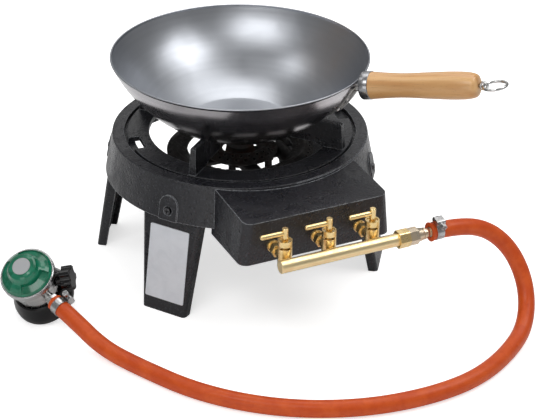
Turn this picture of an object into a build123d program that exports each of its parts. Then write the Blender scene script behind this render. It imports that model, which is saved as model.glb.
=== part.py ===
# Gas wok burner with three rings, its wok, three taps, hose and regulator.
# Millimetres, +Z up. Everything is drawn about the drum's axis, from the floor up, and then
# set down so that the middle of the stove and wok, seen from above, lies over the origin.
# The taps are at the front, towards -Y. An azimuth is 0 at the front and grows towards +X.
import os
from math import atan, cos, degrees, radians, sin, sqrt, tan

from build123d import *

os.makedirs("parts", exist_ok=True)

# middle of the stove and wok, seen from above, measured from the drum's axis
middle_x = 23
middle_y = -52.4

# clearances
run_gap = 0.3
fit_gap = 0.05
plug_gap = 0.09

# drum and its top ring
ring_top_z = 166
ring_outer_r = 154
ring_edge = 1.4
wall_bottom_z = 117.5
wall_bottom_r = 163.5
wall = 6
ledge_r = 128
ledge_z = 160
ledge_thick = 6
seat_r = 139.8

# valve box, cast in one with the drum
box_half_top = 89
box_half_bottom = 94.3
box_front = 211
box_top_front_z = 159.75
box_top_back_z = 162.5
box_bottom_z = 108
box_wall = 5
box_corner = 11

# legs
leg_azimuths = {"front_left": -55, "front_right": 55, "back_left": -125, "back_right": 125}
foot_r = 177.4
leg_wall_r = 155.9
leg_half_foot = 29.5
leg_half_wall = 39.15
leg_depth_foot = 11.4
leg_depth_wall = 13.7
leg_thick = 4.8
leg_bend = 4.5
tongue_half = 33
tongue_top_z = 147
channel_top_z = 121
leg_screw_z = 127.5
leg_screw_d = 5
boss_half = 12
boss_top_z = 146
boss_proud = 9
seat_pad = 2
label_wide = 52.5
label_high = 91
label_low = 15.6
label_thick = 0.8

# pan support
plate_r = 136.2
plate_inner_r = 110
plate_thick = ring_top_z - ledge_z
support_turn = -3.5
notch_turn = -6.5
fin_count = 4
fin_top_z = 199
fin_outer_r = 134.5
fin_top_r = 131.5
fin_tip_r = 65
fin_under_r = 97
fin_under_z = 169.5
fin_base_thick = 9
fin_top_thick = 6.5
notch_r = 121.5
notch_wide = 30

# wok
bowl_r = 168
bowl_centre_z = 331
bowl_flat_z = 174.6
bowl_rim_r = 155
bowl_thick = 1.6
bead_r = 1.6

# wok handle
handle_azimuth = 38
handle_rise = 12.14
ferrule_r0 = 165.5
ferrule_z0 = 258.5
tang_r = 3.5
bracket_wide = 26
bracket_thick = 2
bracket_low_z = 217
bracket_high_z = 256
rib_wide = 9
rib_thick = 4
rivet_d = 5
rivet_head_r = 4
rivet_out = 8.9
ferrule_r = 16.4
ferrule_thick = 1.2
ferrule_back = 6.6
ferrule_front = 5.1
grip_neck_r = 14.9
grip_end = 135.5
tang_in_grip = 45
eye_wire_r = 1.6
eye_hole_r = 2.6
eye_reach = 5.5
hang_ring_r = 13.2
hang_wire_r = 1.75

# burners
burner_low_z = 137.7
burner_top_z = 148.7
burner_wall = 3
outer_burner_r = 89
outer_burner_inner_r = 64
inner_burner_r = 45.5
inner_burner_inner_r = 22
centre_burner_r = 18
outer_slots = 56
outer_ports = 40
inner_ports = 24
centre_ports = 10
feed_r = 9.3
feed_bore_r = 6.3
feed_mouth_y = 186
bar_y = 30
bar_wide = 20
bar_thick = 4
bar_top_z = 115
bar_half = 154
lug_x = 144
lug_long = 20
lug_top_z = 130
carrier_screw_d = 5
foot_outer_x = 73
foot_inner_x = 24

# taps and manifold
tap_y = 242
tap_z = 128
tap_spacing = 53.9
tap_shift = -2.2
tap_r = 8.1
tap_low_z = 117.5
tap_top_z = 151.5
cup_r = 6.25
cup_floor_z = 141
plug_low_r = 4.2
plug_high_r = 5.0
plug_low_z = 121.5
stem_r = 3.6
stem_top_z = 165.8
lever_z = 160
lever_long = 30
lever_r = 2.75
lever_turn = 90
pin_azimuth = -75
pin_r = 1.2
pin_z = 143.3
pin_margin = 14
tap_hex = 14
tap_hex_thick = 6.5
tap_neck_long = 8
tap_flange_r = 7.4
tap_flange_thick = 2.5
tap_thread_r = 6.3
lock_nut_hex = 17
lock_nut_thick = 4
manifold_r = 7.5
manifold_wall = 1.5
manifold_y = 257.6
manifold_left = -68
manifold_right = 80
nut_hex = 19
nut_left = 75.5
nut_right = 89
adaptor_hex = 17.6
adaptor_hex_end = 100.5
adaptor_groove_x = 107.5
adaptor_end = 111

# hose
hose_d = 19.5
hose_start_x = 117.5
barb_root_r = 4.4
barb_tip_r = 5.6
barb_pitch = 4.2
barb_in_hose = 21
band_wide = 9
band_thick = 0.8
clamp_set = 9.5

# regulator, leaning on the edge of its skirt
reg_x = -270.4
reg_y = -43.8
reg_lean = 33.8
reg_azimuth = -50.3
outlet_heading = 19.5
skirt_r = 36.1
skirt_top_r = 29.6
skirt_high = 24.3
reg_body_r = 26.7
reg_rim_r = 32.2
reg_rim_t = 60.1
reg_disc_r = 10.5
reg_disc_t = 79.3
outlet_t = 34
outlet_long = 36.8
outlet_r = 5.5
outlet_hex = 14
knob_t = 36
knob_turn = 48
knob_r = 14.6
knob_neck_r = 7.8
knob_pin_r = 3.5
knob_pin_deep = 5
knob_start = 34.5
knob_end = 46.8
knob_lobes = 5
rim_wall = 1.5
skirt_travel = 3.5


def outward(azimuth):
    return Vector(sin(radians(azimuth)), -cos(radians(azimuth)), 0)


def sideways(azimuth):
    return Vector(cos(radians(azimuth)), sin(radians(azimuth)), 0)


# upright plane through the drum's axis: local x is the radius at this azimuth, local y is the height
def radial_plane(azimuth):
    out = outward(azimuth)
    return Plane(origin=(0, 0, 0), x_dir=out, z_dir=out.cross(Vector(0, 0, 1)))


# closed polygon face in the running sketch
def outline(*points):
    Polygon(*points, align=None)


def hexagon(across_flats):
    RegularPolygon(radius=across_flats / 2, side_count=6, major_radius=False)


# round bar from a plane along its normal, or one from each plane of a list
def rod(start, radius, length, mode=Mode.ADD):
    with Locations(start):
        Cylinder(radius, length, align=(Align.CENTER, Align.CENTER, Align.MIN), mode=mode)


# round bar that grows or shrinks to another radius at its far end
def cone(start, radius, end_radius, length, mode=Mode.ADD):
    with Locations(start):
        Cone(radius, end_radius, length, align=(Align.CENTER, Align.CENTER, Align.MIN), mode=mode)


def hex_bar(start, across_flats, length):
    with BuildSketch(start) as face:
        hexagon(across_flats)
    extrude(face.sketch, amount=length)


# closed outline on a plane, turned about an axis that lies in it
def turned(side, axis, *points, mode=Mode.ADD, arc=360):
    with BuildSketch(side) as face:
        outline(*points)
    revolve(face.sketch, axis=axis, revolution_arc=arc, mode=mode)


# body casting
def drum_r(z):
    return wall_bottom_r - (z - wall_bottom_z) * (wall_bottom_r - ring_outer_r) / (ring_top_z - wall_bottom_z)


def box_half(z):
    draft = (box_half_top - box_half_bottom) / (box_top_front_z - box_bottom_z)
    return box_half_bottom + (z - box_bottom_z) * draft


# the valve box as a solid, drawn in by inset on its sides, front and lid
def valve_box(inset, low_z):
    lid_slope = Vector(0, box_front - ring_outer_r, box_top_back_z - box_top_front_z).normalized()
    lid = Plane(
        origin=(0, -box_front, box_top_front_z - inset),
        x_dir=(1, 0, 0),
        z_dir=Vector(1, 0, 0).cross(lid_slope),
    )
    with BuildPart() as box:
        for z in (low_z, ring_top_z):
            with BuildSketch(Plane.XY.offset(z)):
                with Locations((0, -(box_front - inset) / 2)):
                    Rectangle(2 * (box_half(z) - inset), box_front - inset)
        loft()
        front_edges = box.faces().sort_by(Axis.Y)[0].edges().sort_by(Axis.X)
        fillet([front_edges[0], front_edges[-1]], radius=box_corner - inset)
        split(bisect_by=lid, keep=Keep.BOTTOM)
    return box.part


leg_splay = degrees(atan((foot_r - leg_wall_r) / wall_bottom_z))


# plane of a leg's outer face: local x is sideways, local y climbs the leg from the floor
def leg_plane(azimuth, out=0):
    normal = outward(azimuth) * cos(radians(leg_splay)) + Vector(0, 0, sin(radians(leg_splay)))
    return Plane(origin=outward(azimuth) * foot_r + normal * out, x_dir=sideways(azimuth), z_dir=normal)


# distance up a leg's face from the floor to the height z
def climb(z):
    return z / cos(radians(leg_splay))


# flat seat pad inside the wall and arched screw boss outside it, for one leg
def leg_seat(azimuth):
    pad_half = leg_half_wall + 2
    with BuildPart() as seat:
        with BuildSketch(leg_plane(azimuth)):
            outline(
                (-pad_half, climb(wall_bottom_z - 5)),
                (pad_half, climb(wall_bottom_z - 5)),
                (pad_half, climb(channel_top_z)),
                (tongue_half + 2, climb(channel_top_z + 5)),
                (tongue_half + 2, climb(tongue_top_z + 3)),
                (-tongue_half - 2, climb(tongue_top_z + 3)),
                (-tongue_half - 2, climb(channel_top_z + 5)),
                (-pad_half, climb(channel_top_z)),
            )
        extrude(amount=seat_pad)
        boss_arc_z = boss_top_z - boss_half
        with BuildSketch(leg_plane(azimuth, seat_pad)):
            with Locations((0, climb(boss_arc_z))):
                Circle(boss_half)
            with Locations((0, climb((boss_arc_z + wall_bottom_z - 5) / 2))):
                Rectangle(2 * boss_half, climb(boss_arc_z - wall_bottom_z + 5))
        extrude(amount=boss_proud - seat_pad)
        split(bisect_by=Plane.XY.offset(wall_bottom_z), keep=Keep.TOP)
    return seat.part


with BuildPart() as body_casting:
    with BuildSketch(Plane.XZ) as drum_side:
        outline(
            (0, wall_bottom_z),
            (wall_bottom_r, wall_bottom_z),
            (ring_outer_r, ring_top_z),
            (0, ring_top_z),
        )
        rim_corner = drum_side.vertices().sort_by_distance((ring_outer_r, ring_top_z, 0))[0]
        fillet(rim_corner, ring_edge)
    revolve(axis=Axis.Z)
    add(valve_box(0, box_bottom_z))
    add(valve_box(box_wall, box_bottom_z - wall), mode=Mode.SUBTRACT)
    under_ledge_z = ledge_z - ledge_thick
    with BuildSketch(Plane.XZ):
        outline(
            (ledge_r, under_ledge_z),
            (drum_r(under_ledge_z) - wall / 2, under_ledge_z),
            (drum_r(ring_top_z) - wall / 2, ring_top_z - ring_edge),
            (ledge_r, ring_top_z - ring_edge),
        )
    revolve(axis=Axis.Z)
    with BuildSketch(Plane.XZ):
        outline(
            (0, box_bottom_z - 1),
            (drum_r(box_bottom_z - 1) - wall, box_bottom_z - 1),
            (drum_r(under_ledge_z) - wall, under_ledge_z),
            (ledge_r, under_ledge_z),
            (ledge_r, ledge_z),
            (seat_r, ledge_z),
            (seat_r, ring_top_z + 1),
            (0, ring_top_z + 1),
        )
    revolve(axis=Axis.Z, mode=Mode.SUBTRACT)
    for azimuth in leg_azimuths.values():
        add(leg_seat(azimuth))
    for azimuth in leg_azimuths.values():
        pocket_half = leg_half_wall + 1.2
        pocket_wall_z = channel_top_z + 1
        with BuildSketch(leg_plane(azimuth)):
            outline(
                (-pocket_half, climb(box_bottom_z - 10)),
                (pocket_half, climb(box_bottom_z - 10)),
                (pocket_half, climb(pocket_wall_z)),
                (tongue_half + 1, climb(pocket_wall_z + 4)),
                (tongue_half + 1, climb(tongue_top_z + 2)),
                (-tongue_half - 1, climb(tongue_top_z + 2)),
                (-tongue_half - 1, climb(pocket_wall_z + 4)),
                (-pocket_half, climb(pocket_wall_z)),
            )
        extrude(amount=-2 * wall, mode=Mode.SUBTRACT)
        with BuildSketch(leg_plane(azimuth, -1)):
            with Locations((0, climb(leg_screw_z))):
                Circle(leg_screw_d / 2 + fit_gap)
        extrude(amount=boss_proud + 5, mode=Mode.SUBTRACT)
        with BuildSketch(leg_plane(azimuth, boss_proud - 1)):
            with Locations((0, climb(leg_screw_z))):
                Circle(leg_screw_d + 0.8)
        extrude(amount=5, mode=Mode.SUBTRACT)
    with BuildSketch(Plane.XY.offset(bar_top_z)):
        with GridLocations(2 * lug_x, 2 * bar_y, 2, 2):
            Rectangle(lug_long, bar_wide)
    extrude(amount=lug_top_z - bar_top_z)
    with BuildSketch(Plane.XY.offset(bar_top_z)):
        with GridLocations(2 * lug_x, 2 * bar_y, 2, 2):
            Circle(carrier_screw_d / 2 + fit_gap)
    extrude(amount=(lug_top_z - bar_top_z) - 3, mode=Mode.SUBTRACT)
    tap_xs = [tap_shift + place * tap_spacing for place in (-1, 0, 1)]
    with BuildSketch(Plane.XZ.offset(box_front - box_wall - 1)):
        for x in tap_xs:
            with Locations((x, tap_z)):
                Circle(tap_thread_r + fit_gap)
    extrude(amount=box_wall + 2, mode=Mode.SUBTRACT)


# legs
def leg_half(z):
    return leg_half_foot + (leg_half_wall - leg_half_foot) * z / wall_bottom_z


def leg_depth(z):
    return leg_depth_foot + (leg_depth_wall - leg_depth_foot) * z / wall_bottom_z


def make_leg(azimuth):
    face = leg_plane(azimuth)
    with BuildPart() as leg:
        for z in (-4, channel_top_z):
            section = Plane(origin=face.from_local_coords((0, climb(z), 0)), x_dir=face.x_dir, z_dir=face.y_dir)
            half = leg_half(z)
            deep = leg_depth(z)
            with BuildSketch(section) as channel:
                outline(
                    (-half, 0),
                    (half, 0),
                    (half, deep),
                    (half - leg_thick, deep),
                    (half - leg_thick, leg_thick),
                    (leg_thick - half, leg_thick),
                    (leg_thick - half, deep),
                    (-half, deep),
                )
                right_bend = channel.vertices().sort_by_distance((half, 0, 0))[0]
                left_bend = channel.vertices().sort_by_distance((-half, 0, 0))[0]
                fillet([right_bend, left_bend], leg_bend)
        loft(ruled=True)
        with BuildSketch(face) as tongue:
            outline(
                (-tongue_half, climb(channel_top_z - 20)),
                (tongue_half, climb(channel_top_z - 20)),
                (tongue_half, climb(tongue_top_z)),
                (-tongue_half, climb(tongue_top_z)),
            )
            fillet(tongue.vertices().group_by(Axis.Y)[-1], 8)
        extrude(amount=-leg_thick)
        with BuildSketch(face):
            with Locations((0, climb(leg_screw_z))):
                Circle(leg_screw_d / 2 + fit_gap)
        extrude(amount=-leg_thick, mode=Mode.SUBTRACT)
        split(bisect_by=Plane.XY, keep=Keep.TOP)
    return leg


legs = {name: make_leg(azimuth) for name, azimuth in leg_azimuths.items()}

with BuildPart() as leg_label:
    with BuildSketch(leg_plane(leg_azimuths["front_left"])):
        with Locations((0, label_low + label_high / 2)):
            RectangleRounded(label_wide, label_high, 2)
    extrude(amount=label_thick)

leg_nut_thick = 4
with BuildPart() as leg_screws:
    for azimuth in leg_azimuths.values():
        head = leg_plane(azimuth, boss_proud - 1)
        with BuildSketch(head):
            with Locations((0, climb(leg_screw_z))):
                Circle(leg_screw_d * 0.92)
        extrude(amount=3.2, taper=12)
        with BuildSketch(leg_plane(azimuth, boss_proud + 0.6)):
            with Locations((0, climb(leg_screw_z))):
                Rectangle(5.2, 1.1)
                Rectangle(1.1, 5.2)
        extrude(amount=3, mode=Mode.SUBTRACT)
        with BuildSketch(head):
            with Locations((0, climb(leg_screw_z))):
                Circle(leg_screw_d / 2)
        extrude(amount=-(boss_proud - 1 + leg_thick + leg_nut_thick + 2))

with BuildPart() as leg_nuts:
    for azimuth in leg_azimuths.values():
        with BuildSketch(leg_plane(azimuth, -leg_thick)):
            with Locations((0, climb(leg_screw_z))):
                hexagon(8)
                Circle(leg_screw_d / 2 + fit_gap, mode=Mode.SUBTRACT)
        extrude(amount=-leg_nut_thick)


# pan support
def bowl_z(r, gap=0):
    return bowl_centre_z - sqrt((bowl_r + gap) ** 2 - r**2)


def bowl_radius_at(z, gap=0):
    return sqrt((bowl_r + gap) ** 2 - (bowl_centre_z - z) ** 2)


bowl_flat_r = bowl_radius_at(bowl_flat_z)

with BuildPart() as fin:
    fin_contact_r = bowl_radius_at(fin_top_z, run_gap)
    fin_low_r = fin_tip_r + 0.5
    fin_mid_r = (fin_contact_r + fin_low_r) / 2
    with BuildSketch(Plane.XZ):
        with BuildLine():
            arc = ThreePointArc(
                (fin_contact_r, fin_top_z),
                (fin_mid_r, bowl_z(fin_mid_r, run_gap)),
                (fin_low_r, bowl_z(fin_low_r, run_gap)),
            )
            Polyline(
                arc @ 1,
                (fin_tip_r, fin_under_z + 2),
                (fin_tip_r + 2, fin_under_z + 0.5),
                (fin_under_r, fin_under_z),
                (plate_inner_r, ring_top_z - 1),
                (plate_inner_r, ledge_z + plate_thick / 2),
                (plate_inner_r + 2, ledge_z + plate_thick / 2),
                (fin_outer_r, ring_top_z - 1),
                (fin_top_r, fin_top_z - 2),
                (fin_top_r - 2, fin_top_z),
                arc @ 0,
            )
        make_face()
    extrude(amount=fin_base_thick, both=True)
    with BuildSketch(Plane.YZ) as wedge:
        base_half = fin_base_thick / 2
        top_half = fin_top_thick / 2
        outline(
            (-base_half, ledge_z),
            (base_half, ledge_z),
            (top_half, fin_top_z - 1),
            (top_half - 1, fin_top_z),
            (1 - top_half, fin_top_z),
            (-top_half, fin_top_z - 1),
        )
    extrude(amount=plate_r, mode=Mode.INTERSECT)

with BuildPart() as pan_support:
    with BuildSketch(Plane.XY.offset(ledge_z)):
        Circle(plate_r)
        Circle(plate_inner_r, mode=Mode.SUBTRACT)
        with Locations(Rotation(0, 0, notch_turn)):
            with GridLocations(2 * (notch_r + plate_r), 1, 2, 1):
                Rectangle(2 * plate_r, notch_wide, mode=Mode.SUBTRACT)
    extrude(amount=plate_thick)
    top_rim = pan_support.edges().filter_by(GeomType.CIRCLE).group_by(Axis.Z)[-1]
    fillet(top_rim.filter_by(lambda edge: edge.radius > plate_r - 1), 0.8)
    with PolarLocations(0, fin_count, start_angle=45 + support_turn):
        add(fin.part)

# wok
def bowl_inner_z(r):
    return bowl_centre_z - sqrt((bowl_r - bowl_thick) ** 2 - r**2)


# point on the bowl's outer face, and the way out of it
def bowl_normal(azimuth, z):
    surface = outward(azimuth) * bowl_radius_at(z) + Vector(0, 0, z)
    return surface, (surface - Vector(0, 0, bowl_centre_z)).normalized()


rivet_zs = (bracket_low_z + 8, bracket_high_z - 14)
rivet_half_turn = degrees(rivet_out / bowl_radius_at(rivet_zs[0]))
rivet_spots = [
    bowl_normal(handle_azimuth + side * rivet_half_turn, z) for z in rivet_zs for side in (-1, 1)
]


def rivet_holes():
    for surface, normal in rivet_spots:
        rod(Plane(origin=surface - normal * 4, z_dir=normal), rivet_d / 2 + fit_gap, 12, Mode.SUBTRACT)


with BuildPart() as wok_bowl:
    inner_flat_z = bowl_flat_z + bowl_thick
    inner_flat_r = sqrt((bowl_r - bowl_thick) ** 2 - (bowl_centre_z - inner_flat_z) ** 2)
    outer_edge_r = bowl_rim_r - bead_r
    inner_edge_r = outer_edge_r - bowl_thick
    outer_mid_r = (bowl_flat_r + outer_edge_r) / 2
    inner_mid_r = (inner_flat_r + inner_edge_r) / 2
    rim_z = bowl_z(outer_edge_r)
    with BuildSketch(Plane.XZ):
        with BuildLine():
            outside = ThreePointArc(
                (bowl_flat_r, bowl_flat_z),
                (outer_mid_r, bowl_z(outer_mid_r)),
                (outer_edge_r, rim_z),
            )
            inside = ThreePointArc(
                (inner_edge_r, bowl_inner_z(inner_edge_r)),
                (inner_mid_r, bowl_inner_z(inner_mid_r)),
                (inner_flat_r, inner_flat_z),
            )
            Line(outside @ 1, inside @ 0)
            Polyline(inside @ 1, (0, inner_flat_z), (0, bowl_flat_z), outside @ 0)
        make_face()
        with Locations((outer_edge_r - bowl_thick / 2, rim_z + 0.4)):
            Circle(bead_r)
    revolve(axis=Axis.Z)
    rivet_holes()

# wok handle
handle_side = radial_plane(handle_azimuth)
grip_point = handle_side.from_local_coords((ferrule_r0, ferrule_z0, 0))
grip_dir = (handle_side.x_dir * cos(radians(handle_rise)) + Vector(0, 0, sin(radians(handle_rise)))).normalized()
grip_axis = Axis(grip_point, grip_dir)
# local x runs along the handle from the middle of the ferrule, local y is square to it
grip_plane = Plane(origin=grip_point, x_dir=grip_dir, z_dir=handle_side.z_dir)


# plane square to the handle, at a distance along it from the middle of the ferrule
def across_grip(distance):
    return Plane(origin=grip_point + grip_dir * distance, x_dir=handle_side.z_dir, z_dir=grip_dir)


# point of a radial plane on a sphere about the bowl's centre
def on_sphere(radius, z):
    return (sqrt(radius**2 - (bowl_centre_z - z) ** 2), z)


# strip that follows the wall of the bowl, width counted along the wall
def wall_strip(low_z, high_z, wide, gap, thick):
    half_turn = degrees(wide / 2 / bowl_radius_at((low_z + high_z) / 2))
    near = bowl_r + gap
    far = near + thick
    middle_z = (low_z + high_z) / 2
    with BuildPart() as strip:
        with BuildSketch(radial_plane(handle_azimuth - half_turn)):
            with BuildLine():
                near_arc = ThreePointArc(*(on_sphere(near, z) for z in (low_z, middle_z, high_z)))
                far_arc = ThreePointArc(*(on_sphere(far, z) for z in (high_z, middle_z, low_z)))
                Line(near_arc @ 1, far_arc @ 0)
                Line(far_arc @ 1, near_arc @ 0)
            make_face()
        revolve(axis=Axis.Z, revolution_arc=2 * half_turn)
    return strip.part


socket_half = 6.2
socket_start = -18.2
socket_end = -8
tang_start = -11.6
with BuildPart() as wok_bracket:
    add(wall_strip(bracket_low_z, bracket_high_z, bracket_wide, fit_gap, bracket_thick))
    add(wall_strip(bracket_low_z + 5, bracket_high_z - 2, rib_wide, fit_gap + 1, rib_thick))
    with BuildSketch(across_grip(socket_start)):
        RectangleRounded(2 * socket_half, 2 * socket_half - 2, 2)
    extrude(amount=socket_end - socket_start)
    rod(across_grip(tang_start - 0.5), tang_r + fit_gap, socket_end - socket_start, Mode.SUBTRACT)
    with Locations((0, 0, bowl_centre_z)):
        Sphere(bowl_r + fit_gap, mode=Mode.SUBTRACT)
    rivet_holes()

with BuildPart() as bracket_rivets:
    head_at = bracket_thick + fit_gap
    tail_at = bowl_thick + 0.1
    for surface, normal in rivet_spots:
        cone(Plane(origin=surface + normal * head_at, z_dir=normal), rivet_head_r, rivet_head_r - 1.4, 1.6)
        rod(Plane(origin=surface - normal * tail_at, z_dir=normal), rivet_d / 2, head_at + tail_at)
        cone(Plane(origin=surface - normal * tail_at, z_dir=-normal), rivet_head_r, rivet_head_r - 1, 1)

with BuildPart() as handle_tang:
    rod(across_grip(tang_start), tang_r, tang_in_grip - tang_start)

with BuildPart() as handle_ferrule:
    with BuildSketch(across_grip(-ferrule_back)):
        Circle(ferrule_r)
    extrude(amount=ferrule_back + ferrule_front)
    fillet(handle_ferrule.faces().sort_by(Axis(grip_point, grip_dir))[0].edges(), 2)
    with BuildSketch(across_grip(-ferrule_back + ferrule_thick)):
        Circle(ferrule_r - ferrule_thick)
    extrude(amount=ferrule_back + ferrule_front, mode=Mode.SUBTRACT)
    with BuildSketch(across_grip(-ferrule_back)):
        Circle(tang_r + fit_gap)
    extrude(amount=ferrule_thick, mode=Mode.SUBTRACT)

with BuildPart() as handle_grip:
    grip_start = -ferrule_back + ferrule_thick
    with BuildSketch(grip_plane):
        with BuildLine():
            side = Spline(
                (ferrule_front + 0.2, 15.8),
                (22, 14.8),
                (45, 14.0),
                (75, 15.0),
                (102, 15.8),
                (122, 15.3),
                (grip_end - 4.5, 13.6),
            )
            tip = ThreePointArc(side @ 1, (grip_end - 1.3, 11.6), (grip_end, 8.5))
            Polyline(
                tip @ 1,
                (grip_end, 0),
                (grip_start, 0),
                (grip_start, grip_neck_r),
                (ferrule_front + 0.2, grip_neck_r),
                side @ 0,
            )
        make_face()
    revolve(axis=grip_axis)
    with BuildSketch(across_grip(grip_start)):
        Circle(tang_r + fit_gap)
    extrude(amount=tang_in_grip - grip_start + 0.2, mode=Mode.SUBTRACT)
    with BuildSketch(across_grip(grip_end - 18)):
        Circle(eye_wire_r + fit_gap)
    extrude(amount=18, mode=Mode.SUBTRACT)

eye_centre = grip_point + grip_dir * (grip_end + eye_reach)
with BuildPart() as handle_eye:
    eye_mean_r = eye_hole_r + eye_wire_r
    with BuildSketch(Plane(origin=eye_centre + grip_dir * eye_mean_r, x_dir=grip_dir, z_dir=grip_plane.y_dir)):
        Circle(eye_wire_r)
    revolve(axis=Axis(eye_centre, handle_side.z_dir))
    with BuildSketch(across_grip(grip_end - 17.5)):
        Circle(eye_wire_r)
    extrude(amount=17.5 + eye_reach - eye_mean_r)

# the ring lies stretched out along the handle, its wire through the eye
with BuildPart() as hanging_ring:
    ring_centre = eye_centre + grip_dir * hang_ring_r
    with BuildSketch(Plane(origin=ring_centre + grip_dir * hang_ring_r, x_dir=grip_dir, z_dir=handle_side.z_dir)):
        Circle(hang_wire_r)
    revolve(axis=Axis(ring_centre, grip_plane.y_dir))


# burners
drum_axis_side = Plane.XZ


# hollow ring with a crown near its outer flank and a slope down to its inner edge
def burner_ring(outer_r, inner_r):
    shoulder_z = burner_low_z + 4.9
    crown_r = outer_r - 9
    turned(
        drum_axis_side,
        Axis.Z,
        (inner_r, burner_low_z),
        (outer_r, burner_low_z),
        (outer_r, burner_low_z + 1.5),
        (outer_r - 4, shoulder_z),
        (crown_r, burner_top_z),
        (crown_r - 3, burner_top_z),
        (inner_r + 1.5, shoulder_z),
        (inner_r, shoulder_z - 1.5),
    )
    low = burner_low_z + burner_wall
    turned(
        drum_axis_side,
        Axis.Z,
        (inner_r + burner_wall, low),
        (outer_r - burner_wall - 2.6, low),
        (crown_r - 0.6, burner_top_z - burner_wall),
        (crown_r - 2.6, burner_top_z - burner_wall),
        mode=Mode.SUBTRACT,
    )


# plane square to the feed tubes, facing the back of the drum
def feed_plane(x, y):
    return Plane(origin=(x, y, tap_z), x_dir=(-1, 0, 0), z_dir=(0, 1, 0))


# feed tube with a flared mouth, from the valve box to end_y
def feed_tube(x, end_y):
    rod(feed_plane(x, -feed_mouth_y), feed_r, feed_mouth_y + end_y)
    cone(feed_plane(x, -feed_mouth_y), feed_r + 2.5, feed_r, 6)


def feed_bore(x, end_y):
    rod(feed_plane(x, -feed_mouth_y), feed_bore_r, feed_mouth_y + end_y, Mode.SUBTRACT)
    cone(feed_plane(x, -feed_mouth_y), feed_bore_r + 2, feed_bore_r, 8, Mode.SUBTRACT)


# upright pipe that lifts the gas from a feed tube into its ring
def riser(x, y, radius, mode=Mode.ADD):
    rod(Plane(origin=(x, y, tap_z)), radius, burner_low_z + burner_wall + 0.5 - tap_z, mode)


# feet that stand on the carrier bars
def burner_feet(foot_x, radius):
    with GridLocations(2 * foot_x, 2 * bar_y, 2, 2):
        rod(Plane(origin=(0, 0, bar_top_z)), radius, burner_low_z + 1 - bar_top_z)


# screw holes in the feet, from below
def foot_holes(foot_x):
    with GridLocations(2 * foot_x, 2 * bar_y, 2, 2):
        rod(Plane(origin=(0, 0, bar_top_z)), carrier_screw_d / 2 + fit_gap, 10, Mode.SUBTRACT)


# ring of ports with raised lips at a radius and height, tilted up from level, turned by a part of their pitch
def ports(count, radius, z, tilt, hole_r, lip_r, turn=0):
    seats = []
    for place in range(count):
        flat_out = outward((place + turn) * 360 / count)
        out = flat_out * cos(radians(tilt)) + Vector(0, 0, sin(radians(tilt)))
        seats.append(Plane(origin=flat_out * radius + Vector(0, 0, z), z_dir=out))
    rod([seat.offset(-1.5) for seat in seats], lip_r, 2.1)
    rod([seat.offset(-5) for seat in seats], hole_r, 8, Mode.SUBTRACT)


with BuildPart() as slot_cutter:
    with BuildSketch(Plane(origin=(0, -outer_burner_r - 2, burner_low_z + 5.1), z_dir=(0, 1, 0))):
        Rectangle(2.2, 5.6, rotation=20)
    extrude(amount=8)

with BuildPart() as outer_ring_burner:
    mid_r = (outer_burner_r + outer_burner_inner_r) / 2
    feed_x = tap_xs[0]
    join_y = -sqrt(mid_r**2 - feed_x**2)
    burner_ring(outer_burner_r, outer_burner_inner_r)
    feed_tube(feed_x, join_y)
    riser(feed_x, join_y, feed_r)
    rod(Plane(origin=(feed_x, join_y, tap_z - feed_r)), feed_r, feed_r)
    burner_feet(foot_outer_x, 7)
    feed_bore(feed_x, join_y)
    riser(feed_x, join_y, feed_bore_r, Mode.SUBTRACT)
    foot_holes(foot_outer_x)
    with PolarLocations(0, outer_slots):
        add(slot_cutter.part, mode=Mode.SUBTRACT)
    ports(outer_ports, outer_burner_inner_r + 6, burner_low_z + 7.2, 117, 1.3, 2.4)

with BuildPart() as inner_ring_burner:
    mid_r = (inner_burner_r + inner_burner_inner_r) / 2
    feed_x = tap_xs[2]
    branch_y = -6
    branch_r = feed_r - 1.3
    branch = Plane(origin=(mid_r, branch_y, tap_z), x_dir=(0, 1, 0), z_dir=(1, 0, 0))
    burner_ring(inner_burner_r, inner_burner_inner_r)
    feed_tube(feed_x, branch_y + branch_r)
    rod(branch, branch_r, feed_x - mid_r + 4)
    riser(mid_r, branch_y, branch_r)
    rod(Plane(origin=(mid_r, branch_y, tap_z - branch_r)), branch_r, branch_r)
    burner_feet(foot_inner_x, 4.5)
    feed_bore(feed_x, branch_y)
    rod(branch, branch_r - burner_wall, feed_x - mid_r, Mode.SUBTRACT)
    riser(mid_r, branch_y, branch_r - burner_wall, Mode.SUBTRACT)
    foot_holes(foot_inner_x)
    ports(inner_ports, inner_burner_r - 4.3, burner_low_z + 5.3, 40, 1.4, 2.5)
    ports(inner_ports, inner_burner_r - 7.6, burner_low_z + 9.2, 40, 1.2, 2.2, turn=0.5)

with BuildPart() as centre_burner:
    rod(Plane(origin=(0, 0, tap_z - feed_r)), centre_burner_r - 3, burner_low_z - tap_z + feed_r)
    cone(Plane(origin=(0, 0, burner_low_z - 2)), centre_burner_r, centre_burner_r - 2, 10)
    feed_tube(tap_xs[1], -6)
    rod(Plane(origin=(tap_xs[1], -bar_y, bar_top_z)), 6, tap_z - feed_bore_r - bar_top_z)
    feed_bore(tap_xs[1], 0)
    rod(Plane(origin=(0, 0, tap_z)), feed_bore_r, burner_low_z + 5 - tap_z, Mode.SUBTRACT)
    pad_hole = Plane(origin=(tap_xs[1], -bar_y, bar_top_z))
    rod(pad_hole, carrier_screw_d / 2 + fit_gap, 3, Mode.SUBTRACT)
    with PolarLocations(6, centre_ports):
        rod(Plane(origin=(0, 0, burner_low_z)), 1.2, 12, Mode.SUBTRACT)
    rod(Plane(origin=(0, 0, burner_low_z)), 1.8, 12, Mode.SUBTRACT)

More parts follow.
